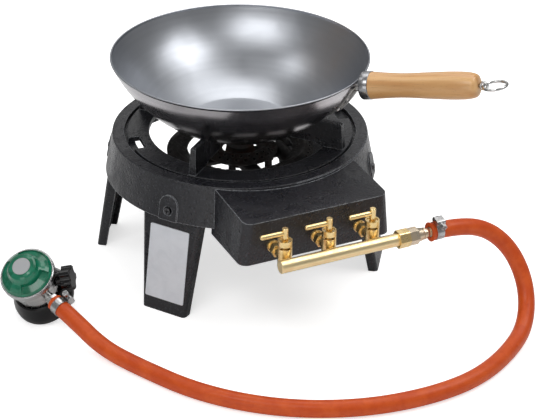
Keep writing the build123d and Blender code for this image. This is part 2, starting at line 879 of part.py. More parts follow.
with BuildPart() as carrier_bars:
    with BuildSketch(Plane.XY.offset(bar_top_z - bar_thick)):
        for side in (-1, 1):
            with Locations((0, side * bar_y)):
                Rectangle(2 * bar_half - 6, bar_wide)
        with GridLocations(2 * lug_x, 2 * bar_y, 2, 2):
            Circle(carrier_screw_d / 2 + fit_gap, mode=Mode.SUBTRACT)
        with GridLocations(2 * foot_outer_x, 2 * bar_y, 2, 2):
            Circle(carrier_screw_d / 2 + fit_gap, mode=Mode.SUBTRACT)
        with GridLocations(2 * foot_inner_x, 2 * bar_y, 2, 2):
            Circle(carrier_screw_d / 2 + fit_gap, mode=Mode.SUBTRACT)
        with Locations((tap_xs[1], -bar_y)):
            Circle(carrier_screw_d / 2 + fit_gap, mode=Mode.SUBTRACT)
    extrude(amount=bar_thick)

carrier_spots = [
    (side * x, front * bar_y, 9)
    for x in (lug_x, foot_outer_x, foot_inner_x)
    for side in (-1, 1)
    for front in (-1, 1)
] + [(tap_xs[1], -bar_y, 2.5)]
with BuildPart() as carrier_screws:
    bar_low_z = bar_top_z - bar_thick
    for x, y, reach in carrier_spots:
        rod(Plane(origin=(x, y, bar_low_z - 3)), carrier_screw_d * 0.85, 3)
        rod(Plane(origin=(x, y, bar_low_z)), carrier_screw_d / 2, bar_thick + reach)
        with BuildSketch(Plane(origin=(x, y, bar_low_z - 3))):
            Rectangle(1.1, 5)
            Rectangle(5, 1.1)
        extrude(amount=1.6, mode=Mode.SUBTRACT)


# taps
# plane square to the taps, facing the front, at a distance in front of the drum's axis
def front_plane(x, distance):
    return Plane(origin=(x, -distance, tap_z), x_dir=(1, 0, 0), z_dir=(0, -1, 0))


# round bar towards the front, between two distances from the drum's axis
def along_front(x, radius, near, far, mode=Mode.ADD):
    rod(front_plane(x, near), radius, far - near, mode)


# upright round bar on a tap's axis
def on_tap(x, radius, low_z, high_z, mode=Mode.ADD):
    rod(Plane(origin=(x, -tap_y, low_z)), radius, high_z - low_z, mode)


# tapered plug, or the bore that it turns in
def taper_plug(x, gap, low_z, high_z, mode=Mode.ADD):
    grow = (plug_high_r - plug_low_r) / (cup_floor_z - plug_low_z)
    low_r = plug_low_r + (low_z - plug_low_z) * grow + gap
    high_r = plug_low_r + (high_z - plug_low_z) * grow + gap
    cone(Plane(origin=(x, -tap_y, low_z)), low_r, high_r, high_z - low_z, mode)


gas_bore_r = 1.9
tap_shank_end = box_front - box_wall - lock_nut_thick - 4
collar_low_z = pin_z + pin_r + 0.4
collar_high_z = collar_low_z + 1


def make_tap_body(x):
    hex_start = box_front + tap_neck_long
    with BuildPart() as tap:
        on_tap(x, tap_r, tap_low_z, tap_top_z)
        chamfer(tap.edges().filter_by(GeomType.CIRCLE).group_by(Axis.Z)[0], 1.2)
        along_front(x, 5.6, box_front, tap_y)
        hex_bar(front_plane(x, hex_start), tap_hex, tap_hex_thick)
        along_front(x, tap_flange_r, box_front, box_front + tap_flange_thick)
        along_front(x, tap_thread_r, tap_shank_end, box_front)
        along_front(x, 4.5, tap_y, manifold_y - manifold_r + 2.2)
        on_tap(x, cup_r, cup_floor_z, tap_top_z, Mode.SUBTRACT)
        taper_plug(x, plug_gap, plug_low_z - 0.5, cup_floor_z, Mode.SUBTRACT)
        along_front(x, gas_bore_r, tap_shank_end, manifold_y, Mode.SUBTRACT)
        along_front(x, 3.2 + fit_gap, tap_shank_end, tap_shank_end + 5, Mode.SUBTRACT)
        # limit slot, cut right through the cup's wall
        slot_start = outward(pin_azimuth - pin_margin)
        slot_half = pin_r + 0.25
        turned(
            Plane(origin=(x, -tap_y, pin_z), x_dir=slot_start, z_dir=slot_start.cross(Vector(0, 0, 1))),
            Axis((x, -tap_y, pin_z), (0, 0, 1)),
            (cup_r - 1, -slot_half),
            (tap_r + 1, -slot_half),
            (tap_r + 1, slot_half),
            (cup_r - 1, slot_half),
            mode=Mode.SUBTRACT,
            arc=lever_turn + 2 * pin_margin,
        )
    return tap


def make_tap_spindle(x):
    with BuildPart() as spindle:
        taper_plug(x, 0, plug_low_z, cup_floor_z)
        on_tap(x, plug_high_r - 0.6, cup_floor_z, collar_low_z)
        on_tap(x, cup_r - 0.35, collar_low_z, collar_high_z)
        on_tap(x, stem_r, collar_high_z, stem_top_z)
        chamfer(spindle.edges().filter_by(GeomType.CIRCLE).group_by(Axis.Z)[-1], 0.5)
        # gas way through the plug, square to the flow while the tap is shut
        plug_way = Plane(origin=(x - tap_r, -tap_y, tap_z), z_dir=(1, 0, 0))
        rod(plug_way, gas_bore_r, 2 * tap_r, Mode.SUBTRACT)
        lever_hole = Plane(origin=(x - stem_r - 1, -tap_y, lever_z), z_dir=(1, 0, 0))
        rod(lever_hole, 1.6 + fit_gap, stem_r + 1, Mode.SUBTRACT)
        pin_out = outward(pin_azimuth)
        pin_start = Vector(x, -tap_y, pin_z) + pin_out * stem_r
        rod(Plane(origin=pin_start, z_dir=pin_out), pin_r, tap_r - stem_r - 0.6)
    return spindle


def make_tap_lever(x):
    with BuildPart() as lever:
        rod(Plane(origin=(x - lever_long, -tap_y, lever_z), z_dir=(1, 0, 0)), lever_r, lever_long)
        fillet(lever.edges().filter_by(GeomType.CIRCLE).sort_by(Axis.X)[0], lever_r - 0.3)
        on_tap(x, stem_r + fit_gap, lever_z - 5, lever_z + 5, Mode.SUBTRACT)
        rod(Plane(origin=(x - stem_r - 2, -tap_y, lever_z), z_dir=(1, 0, 0)), 1.6, stem_r + 1.6)
    return lever


tap_places = dict(zip(("left", "middle", "right"), tap_xs))
tap_bodies = {side: make_tap_body(x) for side, x in tap_places.items()}
tap_spindles = {side: make_tap_spindle(x) for side, x in tap_places.items()}
tap_levers = {side: make_tap_lever(x) for side, x in tap_places.items()}

washer_low_z = 149.4
with BuildPart() as tap_washers:
    for x in tap_xs:
        on_tap(x, cup_r - fit_gap, washer_low_z, washer_low_z + 0.9)
        on_tap(x, stem_r + 0.15, washer_low_z, washer_low_z + 0.9, Mode.SUBTRACT)

with BuildPart() as tap_springs:
    spring_low_z = collar_high_z + 0.6
    spring_high = washer_low_z - 0.6 - spring_low_z
    for x in tap_xs:
        coil = Helix(pitch=spring_high / 2, height=spring_high, radius=4.7, center=(x, -tap_y, spring_low_z))
        with BuildSketch(Plane(origin=coil @ 0, z_dir=coil % 0)):
            Circle(0.4)
        sweep(path=coil, is_frenet=True)

with BuildPart() as tap_locknuts:
    for x in tap_xs:
        with BuildSketch(Plane.XZ.offset(box_front - box_wall)):
            with Locations((x, tap_z)):
                hexagon(lock_nut_hex)
                Circle(tap_thread_r + fit_gap, mode=Mode.SUBTRACT)
        extrude(amount=-lock_nut_thick)

with BuildPart() as tap_jets:
    for x in tap_xs:
        jet_foot = Plane(origin=(x, -tap_shank_end, tap_z), x_dir=(-1, 0, 0), z_dir=(0, 1, 0))
        along_front(x, 3.2, tap_shank_end, tap_shank_end + 4.8)
        hex_bar(jet_foot, 9, 4)
        cone(jet_foot.offset(4), 3, 2, 3)
        along_front(x, 0.6, tap_shank_end - 8, tap_shank_end + 6, Mode.SUBTRACT)

with BuildPart() as manifold_tube:
    with BuildSketch(Plane.YZ.offset(manifold_left)):
        with Locations((-manifold_y, tap_z)):
            Circle(manifold_r)
            Circle(manifold_r - manifold_wall, mode=Mode.SUBTRACT)
    extrude(amount=manifold_right - manifold_left)
    for x in tap_xs:
        along_front(x, 4.5 + fit_gap, manifold_y - manifold_r - 1, manifold_y, Mode.SUBTRACT)

with BuildPart() as manifold_end_cap:
    with BuildSketch(Plane.YZ.offset(manifold_left - 1.5)):
        with Locations((-manifold_y, tap_z)):
            Circle(manifold_r)
    extrude(amount=1.5)
    fillet(manifold_end_cap.edges().sort_by(Axis.X)[0], 1)
    with BuildSketch(Plane.YZ.offset(manifold_left)):
        with Locations((-manifold_y, tap_z)):
            Circle(manifold_r - manifold_wall - fit_gap)
    extrude(amount=4)

with BuildPart() as manifold_nut:
    with BuildSketch(Plane.YZ.offset(nut_left)):
        with Locations((-manifold_y, tap_z)):
            hexagon(nut_hex)
    extrude(amount=nut_right - nut_left)
    with BuildSketch(Plane.YZ.offset(nut_left)):
        with Locations((-manifold_y, tap_z)):
            Circle(nut_hex * 0.56)
    extrude(amount=nut_right - nut_left, mode=Mode.INTERSECT)
    with BuildSketch(Plane.YZ.offset(nut_left)):
        with Locations((-manifold_y, tap_z)):
            Circle(manifold_r + fit_gap)
    extrude(amount=nut_right - nut_left, mode=Mode.SUBTRACT)

gas_way_r = 3
with BuildPart() as manifold_adaptor:
    with BuildSketch(Plane.YZ.offset(manifold_right + 0.2)):
        with Locations((-manifold_y, tap_z)):
            Circle(manifold_r)
    extrude(amount=nut_right - manifold_right - 0.2)
    with BuildSketch(Plane.YZ.offset(nut_right)):
        with Locations((-manifold_y, tap_z)):
            hexagon(adaptor_hex)
    extrude(amount=adaptor_hex_end - nut_right)
    adaptor_collar_r = 6.9
    with BuildSketch(Plane(origin=(0, -manifold_y, tap_z), x_dir=(1, 0, 0), z_dir=(0, -1, 0))):
        outline(
            (adaptor_hex_end, 0),
            (adaptor_hex_end, adaptor_hex / 2 - 0.4),
            (adaptor_groove_x, adaptor_collar_r + 0.2),
            (adaptor_groove_x, adaptor_collar_r - 0.8),
            (adaptor_groove_x + 0.9, adaptor_collar_r - 0.8),
            (adaptor_groove_x + 0.9, adaptor_collar_r),
            (adaptor_end - 0.5, adaptor_collar_r),
            (adaptor_end, adaptor_collar_r - 0.5),
            (adaptor_end, 0),
        )
    revolve(axis=Axis((0, -manifold_y, tap_z), (1, 0, 0)))
    with BuildSketch(Plane.YZ.offset(manifold_right)):
        with Locations((-manifold_y, tap_z)):
            Circle(gas_way_r)
    extrude(amount=adaptor_end - manifold_right, mode=Mode.SUBTRACT)


# barbed spigot from a plane along its normal, with a straight neck before the barbs
def barb(start, neck, barbed):
    side = Plane(origin=start.origin, x_dir=start.z_dir, z_dir=start.x_dir)
    teeth = int(barbed / barb_pitch)
    points = [(0, 0), (0, barb_root_r + 0.6), (neck, barb_root_r + 0.6)]
    for tooth in range(teeth):
        at = neck + tooth * barb_pitch
        points += [(at, barb_tip_r), (at + barb_pitch, barb_root_r)]
    points.append((neck + teeth * barb_pitch, 0))
    turned(side, Axis(start.origin, start.z_dir), *points)
    rod(start, gas_way_r, neck + teeth * barb_pitch, Mode.SUBTRACT)


with BuildPart() as hose_barb:
    barb(
        Plane(origin=(adaptor_end, -manifold_y, tap_z), x_dir=(0, 1, 0), z_dir=(1, 0, 0)),
        2,
        hose_start_x - adaptor_end + barb_in_hose,
    )

# regulator: local z runs from the skirt to the cap, local x points along the outlet
reg_dir = outward(reg_azimuth) * sin(radians(reg_lean)) + Vector(0, 0, cos(radians(reg_lean)))
reg_foot = Vector(reg_x, reg_y, skirt_r * sin(radians(reg_lean)) + 0.1)
outlet_dir = reg_dir.cross(outward(outlet_heading).cross(Vector(0, 0, 1))).normalized()
if outlet_dir.dot(outward(outlet_heading)) < 0:
    outlet_dir = outlet_dir * -1


def reg_at(height):
    return Plane(origin=reg_foot + reg_dir * height, x_dir=outlet_dir, z_dir=reg_dir)


# radial plane of the regulator: local x is the radius towards the outlet, local y the height
reg_side = Plane(origin=reg_foot, x_dir=outlet_dir, z_dir=outlet_dir.cross(reg_dir))
reg_axis = Axis(reg_foot, reg_dir)


def reg_disc(radius, low, high, mode=Mode.ADD):
    rod(reg_at(low), radius, high - low, mode)


outlet_plane = Plane(origin=reg_foot + reg_dir * outlet_t, x_dir=reg_dir, z_dir=outlet_dir)
valve_bore_r = 12
skirt_floor_t = 14
throat_r = 18
body_low_t = 8
flange_low_t = skirt_high + 0.7
knob_dir = outlet_dir * cos(radians(knob_turn)) + reg_side.z_dir * -sin(radians(knob_turn))
knob_foot = reg_foot + reg_dir * knob_t


def knob_plane(distance):
    return Plane(origin=knob_foot + knob_dir * distance, x_dir=reg_dir, z_dir=knob_dir)


with BuildPart() as regulator_skirt:
    with BuildSketch(reg_side):
        with BuildLine():
            flank = Spline(
                (skirt_r, 4),
                (skirt_r - 1.2, 11),
                (skirt_r - 3.6, 18),
                (skirt_top_r, skirt_high),
                tangents=((0, 1), (-0.5, 1)),
            )
            Polyline(
                flank @ 1,
                (skirt_top_r - 2.2, skirt_high),
                (skirt_top_r - 2.2, skirt_floor_t),
                (throat_r, skirt_floor_t - 2),
                (throat_r, 6),
                (skirt_r - 4, 0),
                (skirt_r - 0.8, 0),
                (skirt_r, 0.8),
                flank @ 0,
            )
        make_face()
    revolve(axis=reg_axis)

with BuildPart() as regulator_body:
    rim_low = reg_rim_t - 6
    with BuildSketch(reg_side):
        outline(
            (0, body_low_t),
            (throat_r - fit_gap, body_low_t),
            (throat_r - fit_gap, skirt_floor_t + skirt_travel + run_gap),
            (skirt_top_r - 3.2, skirt_floor_t + skirt_travel + run_gap),
            (skirt_top_r - 3.2, flange_low_t + 1),
            (reg_body_r, flange_low_t + 3),
            (reg_body_r + 0.6, rim_low - 4),
            (reg_rim_r - rim_wall, rim_low - 2),
            (reg_rim_r - rim_wall, reg_rim_t - 2),
            (0, reg_rim_t - 2),
        )
    revolve(axis=reg_axis)
    reg_disc(reg_rim_r - 7, rim_low - 4, reg_rim_t - 1, Mode.SUBTRACT)
    reg_disc(valve_bore_r, body_low_t - 1, 22, Mode.SUBTRACT)
    rod(outlet_plane.offset(10), outlet_r + fit_gap, reg_body_r, Mode.SUBTRACT)
    rod(knob_plane(reg_body_r - 9), knob_pin_r + fit_gap, 20, Mode.SUBTRACT)

with BuildPart() as regulator_outlet:
    hex_start = skirt_top_r + 1.4
    rod(outlet_plane.offset(10), outlet_r, hex_start - 10)
    hex_bar(outlet_plane.offset(hex_start), outlet_hex, outlet_long - hex_start - 1.6)
    barb(outlet_plane.offset(outlet_long - 1.6), 1.6, barb_in_hose)
    rod(outlet_plane.offset(9), gas_way_r, outlet_long, Mode.SUBTRACT)

rim_lip_r = reg_rim_r - rim_wall - 0.4
with BuildPart() as regulator_rim:
    with BuildSketch(reg_side):
        outline(
            (reg_rim_r - rim_wall + fit_gap, rim_low),
            (reg_rim_r - 0.6, rim_low),
            (reg_rim_r, rim_low + 1),
            (reg_rim_r, reg_rim_t + 0.4),
            (reg_rim_r - 0.7, reg_rim_t + 1.1),
            (rim_lip_r, reg_rim_t + 1.1),
            (rim_lip_r, reg_rim_t + 0.3),
            (reg_rim_r - rim_wall + fit_gap, reg_rim_t + 0.3),
        )
    revolve(axis=reg_axis)

with BuildPart() as regulator_diaphragm:
    reg_disc(reg_rim_r - rim_wall - 0.1, reg_rim_t - 2, reg_rim_t - 1)

cap_top = reg_disc_t - 0.5
with BuildPart() as regulator_cap:
    cap_edge_r = reg_rim_r - rim_wall - 0.1
    with BuildSketch(reg_side):
        outline(
            (0, reg_rim_t - 1),
            (cap_edge_r, reg_rim_t - 1),
            (cap_edge_r, reg_rim_t + 0.2),
            (rim_lip_r - 0.1, reg_rim_t + 0.2),
            (rim_lip_r - 0.1, reg_rim_t + 1.6),
            (28, reg_rim_t + 5),
            (24.5, reg_rim_t + 8.2),
            (20.5, reg_rim_t + 11),
            (18.6, reg_rim_t + 13),
            (16.6, cap_top - 1.4),
            (14.5, cap_top),
            (reg_disc_r + 1.4, cap_top + 0.5),
            (reg_disc_r + 0.2, cap_top + 0.5),
            (reg_disc_r + 0.2, cap_top - 0.1),
            (0, cap_top - 0.1),
        )
    revolve(axis=reg_axis)
    with BuildSketch(reg_side):
        outline(
            (0, reg_rim_t - 1),
            (cap_edge_r - 3, reg_rim_t - 1),
            (cap_edge_r - 4.5, reg_rim_t + 1.2),
            (17.8, reg_rim_t + 3.2),
            (15.6, cap_top - 4.5),
            (13.5, cap_top - 3),
            (0, cap_top - 3),
        )
    revolve(axis=reg_axis, mode=Mode.SUBTRACT)
    # three arched pockets between the edge and the raised middle
    for start in (-50, 70, 190):
        pocket_start = outlet_dir.rotate(Axis((0, 0, 0), reg_dir), start)
        with BuildSketch(Plane(origin=reg_foot, x_dir=pocket_start, z_dir=pocket_start.cross(reg_dir))):
            outline(
                (28.4, reg_rim_t + 2.8),
                (28.6, reg_rim_t + 14),
                (19.8, reg_rim_t + 14),
                (19.5, reg_rim_t + 5.4),
            )
        revolve(axis=reg_axis, revolution_arc=88, mode=Mode.SUBTRACT)

with BuildPart() as regulator_disc:
    reg_disc(reg_disc_r, cap_top - 0.1, reg_disc_t)

with BuildPart() as regulator_spring:
    reg_spring_low = reg_rim_t - 0.35
    reg_spring_high = cap_top - 3.6 - reg_spring_low
    spring_seat = reg_at(reg_spring_low)
    coil = spring_seat.location * Helix(pitch=reg_spring_high / 4, height=reg_spring_high, radius=9)
    with BuildSketch(Plane(origin=coil @ 0, z_dir=coil % 0)):
        Circle(0.6)
    sweep(path=coil, is_frenet=True)

with BuildPart() as regulator_seal:
    reg_disc(valve_bore_r - fit_gap, 18, 21.9)
    reg_disc(7, 17, 23, Mode.SUBTRACT)

with BuildPart() as regulator_knob:
    knob_face = knob_plane(knob_start)
    with BuildSketch(knob_face) as lobes:
        Circle(knob_r)
        with PolarLocations(knob_r + 3, knob_lobes, start_angle=180 / knob_lobes):
            Circle(6.6, mode=Mode.SUBTRACT)
        fillet(lobes.vertices(), 1.6)
    extrude(amount=knob_end - knob_start)
    chamfer(regulator_knob.faces().sort_by(Axis(knob_foot, knob_dir))[-1].edges(), 0.8)
    rod(knob_face, knob_pin_r + fit_gap, knob_pin_deep + fit_gap, Mode.SUBTRACT)

with BuildPart() as regulator_spindle:
    rod(knob_plane(reg_body_r + 1), knob_neck_r, knob_start - reg_body_r - 1 - fit_gap)
    rod(knob_plane(reg_body_r - 8.5), knob_pin_r, knob_start - reg_body_r + 8.5 + knob_pin_deep)

# hose: straight runs joined by arcs, each as large as its two runs allow
outlet_end = reg_foot + reg_dir * outlet_t + outlet_dir * outlet_long
hose_points = [
    Vector(hose_start_x, -manifold_y, tap_z),
    Vector(151, -manifold_y, tap_z),
    Vector(192, -257, 116),
    Vector(222, -266, 88),
    Vector(233, -286, 53),
    Vector(222, -313, 24.5),
    Vector(193, -341, 9.9),
    Vector(122, -382, 9.9),
    Vector(50, -392, 9.9),
    Vector(-31, -381, 9.9),
    Vector(-110, -345, 9.9),
    Vector(-176, -284, 9.9),
    Vector(-219, -207, 9.9),
    Vector(-243, -163, 14),
    outlet_end + outlet_dir * 36,
    outlet_end,
]


def arc_radii(points):
    radii = []
    for before, here, after in zip(points, points[1:], points[2:]):
        turn = (here - before).get_angle(after - here)
        shorter = min((here - before).length, (after - here).length)
        radii.append(0.45 * shorter / tan(radians(turn / 2)))
    return radii


hose_radii = arc_radii(hose_points)
with BuildPart() as hose:
    with BuildLine():
        hose_line = FilletPolyline(*hose_points, radius=hose_radii)
    with BuildSketch(Plane(origin=hose_line @ 0, z_dir=hose_line % 0)):
        Circle(hose_d / 2)
    sweep(path=hose_line)

print("hose arc radii", [round(radius) for radius in hose_radii])
print("hose length", round(hose_line.length), "section times length", round(3.1416 * hose_d**2 / 4 * hose_line.length))
print("hose volume", round(hose.part.volume))
print("hose end", outlet_end, "before it", outlet_end + outlet_dir * 36)

# hose clamps: start of the hose, way along it, and the side that carries the worm
clamp_places = [
    (hose_points[0], Vector(1, 0, 0), Vector(0, -sin(radians(12)), cos(radians(12)))),
    (outlet_end, outlet_dir, (knob_dir - outlet_dir * knob_dir.dot(outlet_dir)).normalized()),
]
hose_r = hose_d / 2
housing_long = 12
screw_reach = 7

# plane with its origin on the hose's axis under the worm: local x along the worm, local y out to it
def clamp_plane(start, along, side):
    return Plane(origin=start + along * clamp_set, x_dir=along.cross(side), z_dir=-along)


with BuildPart() as hose_clamp_bands:
    for place in clamp_places:
        with BuildSketch(clamp_plane(*place).offset(-band_wide / 2)):
            Circle(hose_r + fit_gap + band_thick)
            Circle(hose_r + fit_gap, mode=Mode.SUBTRACT)
        extrude(amount=band_wide)

with BuildPart() as hose_clamp_housings:
    housing_low = hose_r + fit_gap + band_thick + fit_gap
    for place in clamp_places:
        with BuildSketch(clamp_plane(*place).offset(-band_wide / 2 - 0.8)):
            with Locations((0, housing_low + 3.4)):
                RectangleRounded(housing_long, 6.8, 2.6)
            Circle(housing_low, mode=Mode.SUBTRACT)
        extrude(amount=band_wide + 1.6)
        across = clamp_plane(*place)
        worm = Plane(
            origin=across.from_local_coords((-housing_long, housing_low + 3.4, 0)),
            x_dir=across.z_dir,
            z_dir=across.x_dir,
        )
        with BuildSketch(worm):
            Circle(2.6 + fit_gap)
        extrude(amount=2 * housing_long, mode=Mode.SUBTRACT)

with BuildPart() as hose_clamp_screws:
    for place in clamp_places:
        across = clamp_plane(*place)
        worm = Plane(
            origin=across.from_local_coords((-housing_long / 2, housing_low + 3.4, 0)),
            x_dir=across.z_dir,
            z_dir=across.x_dir,
        )
        with BuildSketch(worm):
            Circle(2.6)
        extrude(amount=housing_long + screw_reach - 4)
        head = worm.offset(housing_long + screw_reach - 4)
        with BuildSketch(head):
            hexagon(6.6)
        extrude(amount=4)
        with BuildSketch(head.offset(3)):
            Rectangle(5.2, 1.1)
            Rectangle(1.1, 5.2)
        extrude(amount=1, mode=Mode.SUBTRACT)

pieces = {
    "body_casting": body_casting,
    "leg_screws": leg_screws,
    "leg_nuts": leg_nuts,
    "leg_label": leg_label,
    "pan_support": pan_support,
    "outer_ring_burner": outer_ring_burner,
    "inner_ring_burner": inner_ring_burner,
    "centre_burner": centre_burner,
    "carrier_bars": carrier_bars,
    "carrier_screws": carrier_screws,
    "wok_bowl": wok_bowl,
    "wok_bracket": wok_bracket,
    "bracket_rivets": bracket_rivets,
    "handle_tang": handle_tang,
    "handle_ferrule": handle_ferrule,
    "handle_grip": handle_grip,
    "handle_eye": handle_eye,
    "hanging_ring": hanging_ring,
    "tap_washers": tap_washers,
    "tap_springs": tap_springs,
    "tap_locknuts": tap_locknuts,
    "tap_jets": tap_jets,
    "manifold_tube": manifold_tube,
    "manifold_end_cap": manifold_end_cap,
    "manifold_nut": manifold_nut,
    "manifold_adaptor": manifold_adaptor,
    "hose_barb": hose_barb,
    "hose": hose,
    "hose_clamp_bands": hose_clamp_bands,
    "hose_clamp_housings": hose_clamp_housings,
    "hose_clamp_screws": hose_clamp_screws,
    "regulator_skirt": regulator_skirt,
    "regulator_body": regulator_body,
    "regulator_outlet": regulator_outlet,
    "regulator_rim": regulator_rim,
    "regulator_diaphragm": regulator_diaphragm,
    "regulator_cap": regulator_cap,
    "regulator_disc": regulator_disc,
    "regulator_spring": regulator_spring,
    "regulator_seal": regulator_seal,
    "regulator_knob": regulator_knob,
    "regulator_spindle": regulator_spindle,
}
for side, leg in legs.items():
    pieces[f"leg_{side}"] = leg
for side in tap_places:
    pieces[f"tap_body_{side}"] = tap_bodies[side]
    pieces[f"tap_spindle_{side}"] = tap_spindles[side]
    pieces[f"tap_lever_{side}"] = tap_levers[side]
for name, piece in pieces.items():
    piece.part.position = (-middle_x, -middle_y, 0)
    piece.part.label = name
    export_step(piece.part, f"parts/{name}.step")
    print(name, len(piece.part.solids()), round(piece.part.volume))
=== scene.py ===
# Gas wok burner with its wok, taps, hose and regulator: camera, light, finishes and finer pieces.
import math

import bmesh
import bpy
from mathutils import Matrix, Vector


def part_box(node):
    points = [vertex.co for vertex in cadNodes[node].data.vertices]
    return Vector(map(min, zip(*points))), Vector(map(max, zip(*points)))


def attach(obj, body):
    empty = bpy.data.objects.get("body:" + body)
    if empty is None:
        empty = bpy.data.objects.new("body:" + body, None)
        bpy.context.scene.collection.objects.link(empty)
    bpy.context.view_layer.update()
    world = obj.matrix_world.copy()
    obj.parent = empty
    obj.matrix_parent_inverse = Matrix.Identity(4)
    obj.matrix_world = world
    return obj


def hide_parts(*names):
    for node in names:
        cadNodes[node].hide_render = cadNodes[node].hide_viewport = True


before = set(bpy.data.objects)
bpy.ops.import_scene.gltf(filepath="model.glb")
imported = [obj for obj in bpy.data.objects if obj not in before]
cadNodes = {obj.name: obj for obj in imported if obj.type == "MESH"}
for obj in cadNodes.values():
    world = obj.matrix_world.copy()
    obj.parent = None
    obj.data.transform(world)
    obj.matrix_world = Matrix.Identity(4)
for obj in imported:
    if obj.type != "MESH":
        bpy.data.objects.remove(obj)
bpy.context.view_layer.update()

# the drum and the wok share one upright axis
bowlLow, bowlHigh = (Vector(corner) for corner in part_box("wok_bowl"))
drum = Vector(((bowlLow.x + bowlHigh.x) / 2, (bowlLow.y + bowlHigh.y) / 2, 0))
print("frame loaded,", len(cadNodes), "nodes, drum axis", drum)


# camera
cameraView = {
    "place": (-0.7518, -1.6555, 1.0688),   # from the foot of the drum's axis
    "heading": 25.52,                      # degrees from +Y towards +X
    "down": 29.19,
    "roll": 0.60,
    "lens": 112.6,
}


def addCamera(view):
    heading, down, roll = (math.radians(view[key]) for key in ("heading", "down", "roll"))
    ahead = Vector((
        math.sin(heading) * math.cos(down),
        math.cos(heading) * math.cos(down),
        -math.sin(down),
    ))
    level = Vector((math.cos(heading), -math.sin(heading), 0))
    upright = level.cross(ahead)
    right = level * math.cos(roll) + upright * math.sin(roll)
    up = upright * math.cos(roll) - level * math.sin(roll)
    data = bpy.data.cameras.new("studioCamera")
    data.sensor_fit = "HORIZONTAL"
    data.sensor_width = 36
    data.lens = view["lens"]
    data.clip_end = 50
    camera = bpy.data.objects.new("studioCamera", data)
    bpy.context.scene.collection.objects.link(camera)
    turned = Matrix((right, up, -ahead)).transposed().to_4x4()
    camera.matrix_world = Matrix.Translation(drum + Vector(view["place"])) @ turned
    bpy.context.scene.camera = camera


addCamera(cameraView)
print("camera placed")


# node group helpers
def startGroup(name, inputs, outputs):
    group = bpy.data.node_groups.new(name, "ShaderNodeTree")
    for label, kind, value in inputs:
        socket = group.interface.new_socket(name=label, in_out="INPUT", socket_type=kind)
        socket.default_value = value
    for label, kind in outputs:
        group.interface.new_socket(name=label, in_out="OUTPUT", socket_type=kind)
    return group, group.nodes.new("NodeGroupInput"), group.nodes.new("NodeGroupOutput")


def addNode(tree, kind, values=None, links=None, **options):
    node = tree.nodes.new(kind)
    for option, value in options.items():
        setattr(node, option, value)
    for socket, value in (values or {}).items():
        node.inputs[socket].default_value = value
    for socket, source in (links or {}).items():
        tree.links.new(source, node.inputs[socket])
    return node


# maps low to high onto 0 to 1, or onto the two given ends, and eases in and out
def mapRange(tree, source, low, high, start=0.0, end=1.0):
    node = addNode(tree, "ShaderNodeMapRange", {1: low, 2: high, 3: start, 4: end}, {0: source},
                   interpolation_type="SMOOTHSTEP")
    return node.outputs[0]


# puts a number, a colour or another node's output into a socket
def feed(tree, socket, value):
    if isinstance(value, bpy.types.NodeSocket):
        tree.links.new(value, socket)
    elif isinstance(value, tuple):
        socket.default_value = (*value, 1)
    else:
        socket.default_value = value


def maths(tree, operation, first, second=None):
    node = tree.nodes.new("ShaderNodeMath")
    node.operation = operation
    feed(tree, node.inputs[0], first)
    if second is not None:
        feed(tree, node.inputs[1], second)
    return node.outputs[0]


def multiply(tree, first, second):
    return maths(tree, "MULTIPLY", first, second)


def mixColour(tree, factor, first, second):
    node = tree.nodes.new("ShaderNodeMix")
    node.data_type = "RGBA"
    for place, value in ((0, factor), (6, first), (7, second)):
        feed(tree, node.inputs[place], value)
    return node.outputs[2]


def addNoise(tree, coords, scale, **values):
    node = addNode(tree, "ShaderNodeTexNoise", values, {"Vector": coords})
    feed(tree, node.inputs["Scale"], scale)
    return node.outputs["Fac"]


# how far the surface is from a place, in metres
def distanceFrom(tree, coords, place):
    node = addNode(tree, "ShaderNodeVectorMath", {1: place}, {0: coords}, operation="DISTANCE")
    return node.outputs["Value"]


def objectCoords(tree):
    return tree.nodes.new("ShaderNodeTexCoord").outputs["Object"]


# shared effects
def makeCastGrain():
    group, inside, outside = startGroup(
        "castGrain",
        [
            ("Grain", "NodeSocketFloat", 650.0),
            ("Waves", "NodeSocketFloat", 60.0),
            ("Pits", "NodeSocketFloat", 0.4),
        ],
        [("Height", "NodeSocketFloat"), ("Mottle", "NodeSocketFloat"), ("Flecks", "NodeSocketFloat")],
    )
    coords = objectCoords(group)
    fine = addNoise(group, coords, inside.outputs["Grain"], Detail=5.0, Roughness=0.62)
    broad = addNoise(group, coords, inside.outputs["Waves"], Detail=3.0)
    cells = addNode(group, "ShaderNodeTexVoronoi", {"Randomness": 1.0}, {"Vector": coords}, feature="F1")
    group.links.new(multiply(group, inside.outputs["Grain"], 0.45), cells.inputs["Scale"])
    pit = mapRange(group, cells.outputs["Distance"], 0.08, 0.34, 1.0, 0.0)
    pit = multiply(group, pit, inside.outputs["Pits"])
    bumps = maths(group, "ADD", multiply(group, fine, 0.6), multiply(group, broad, 1.6))
    group.links.new(maths(group, "SUBTRACT", bumps, pit), outside.inputs["Height"])
    group.links.new(mapRange(group, broad, 0.38, 0.66), outside.inputs["Mottle"])
    group.links.new(mapRange(group, fine, 0.54, 0.68), outside.inputs["Flecks"])
    return group


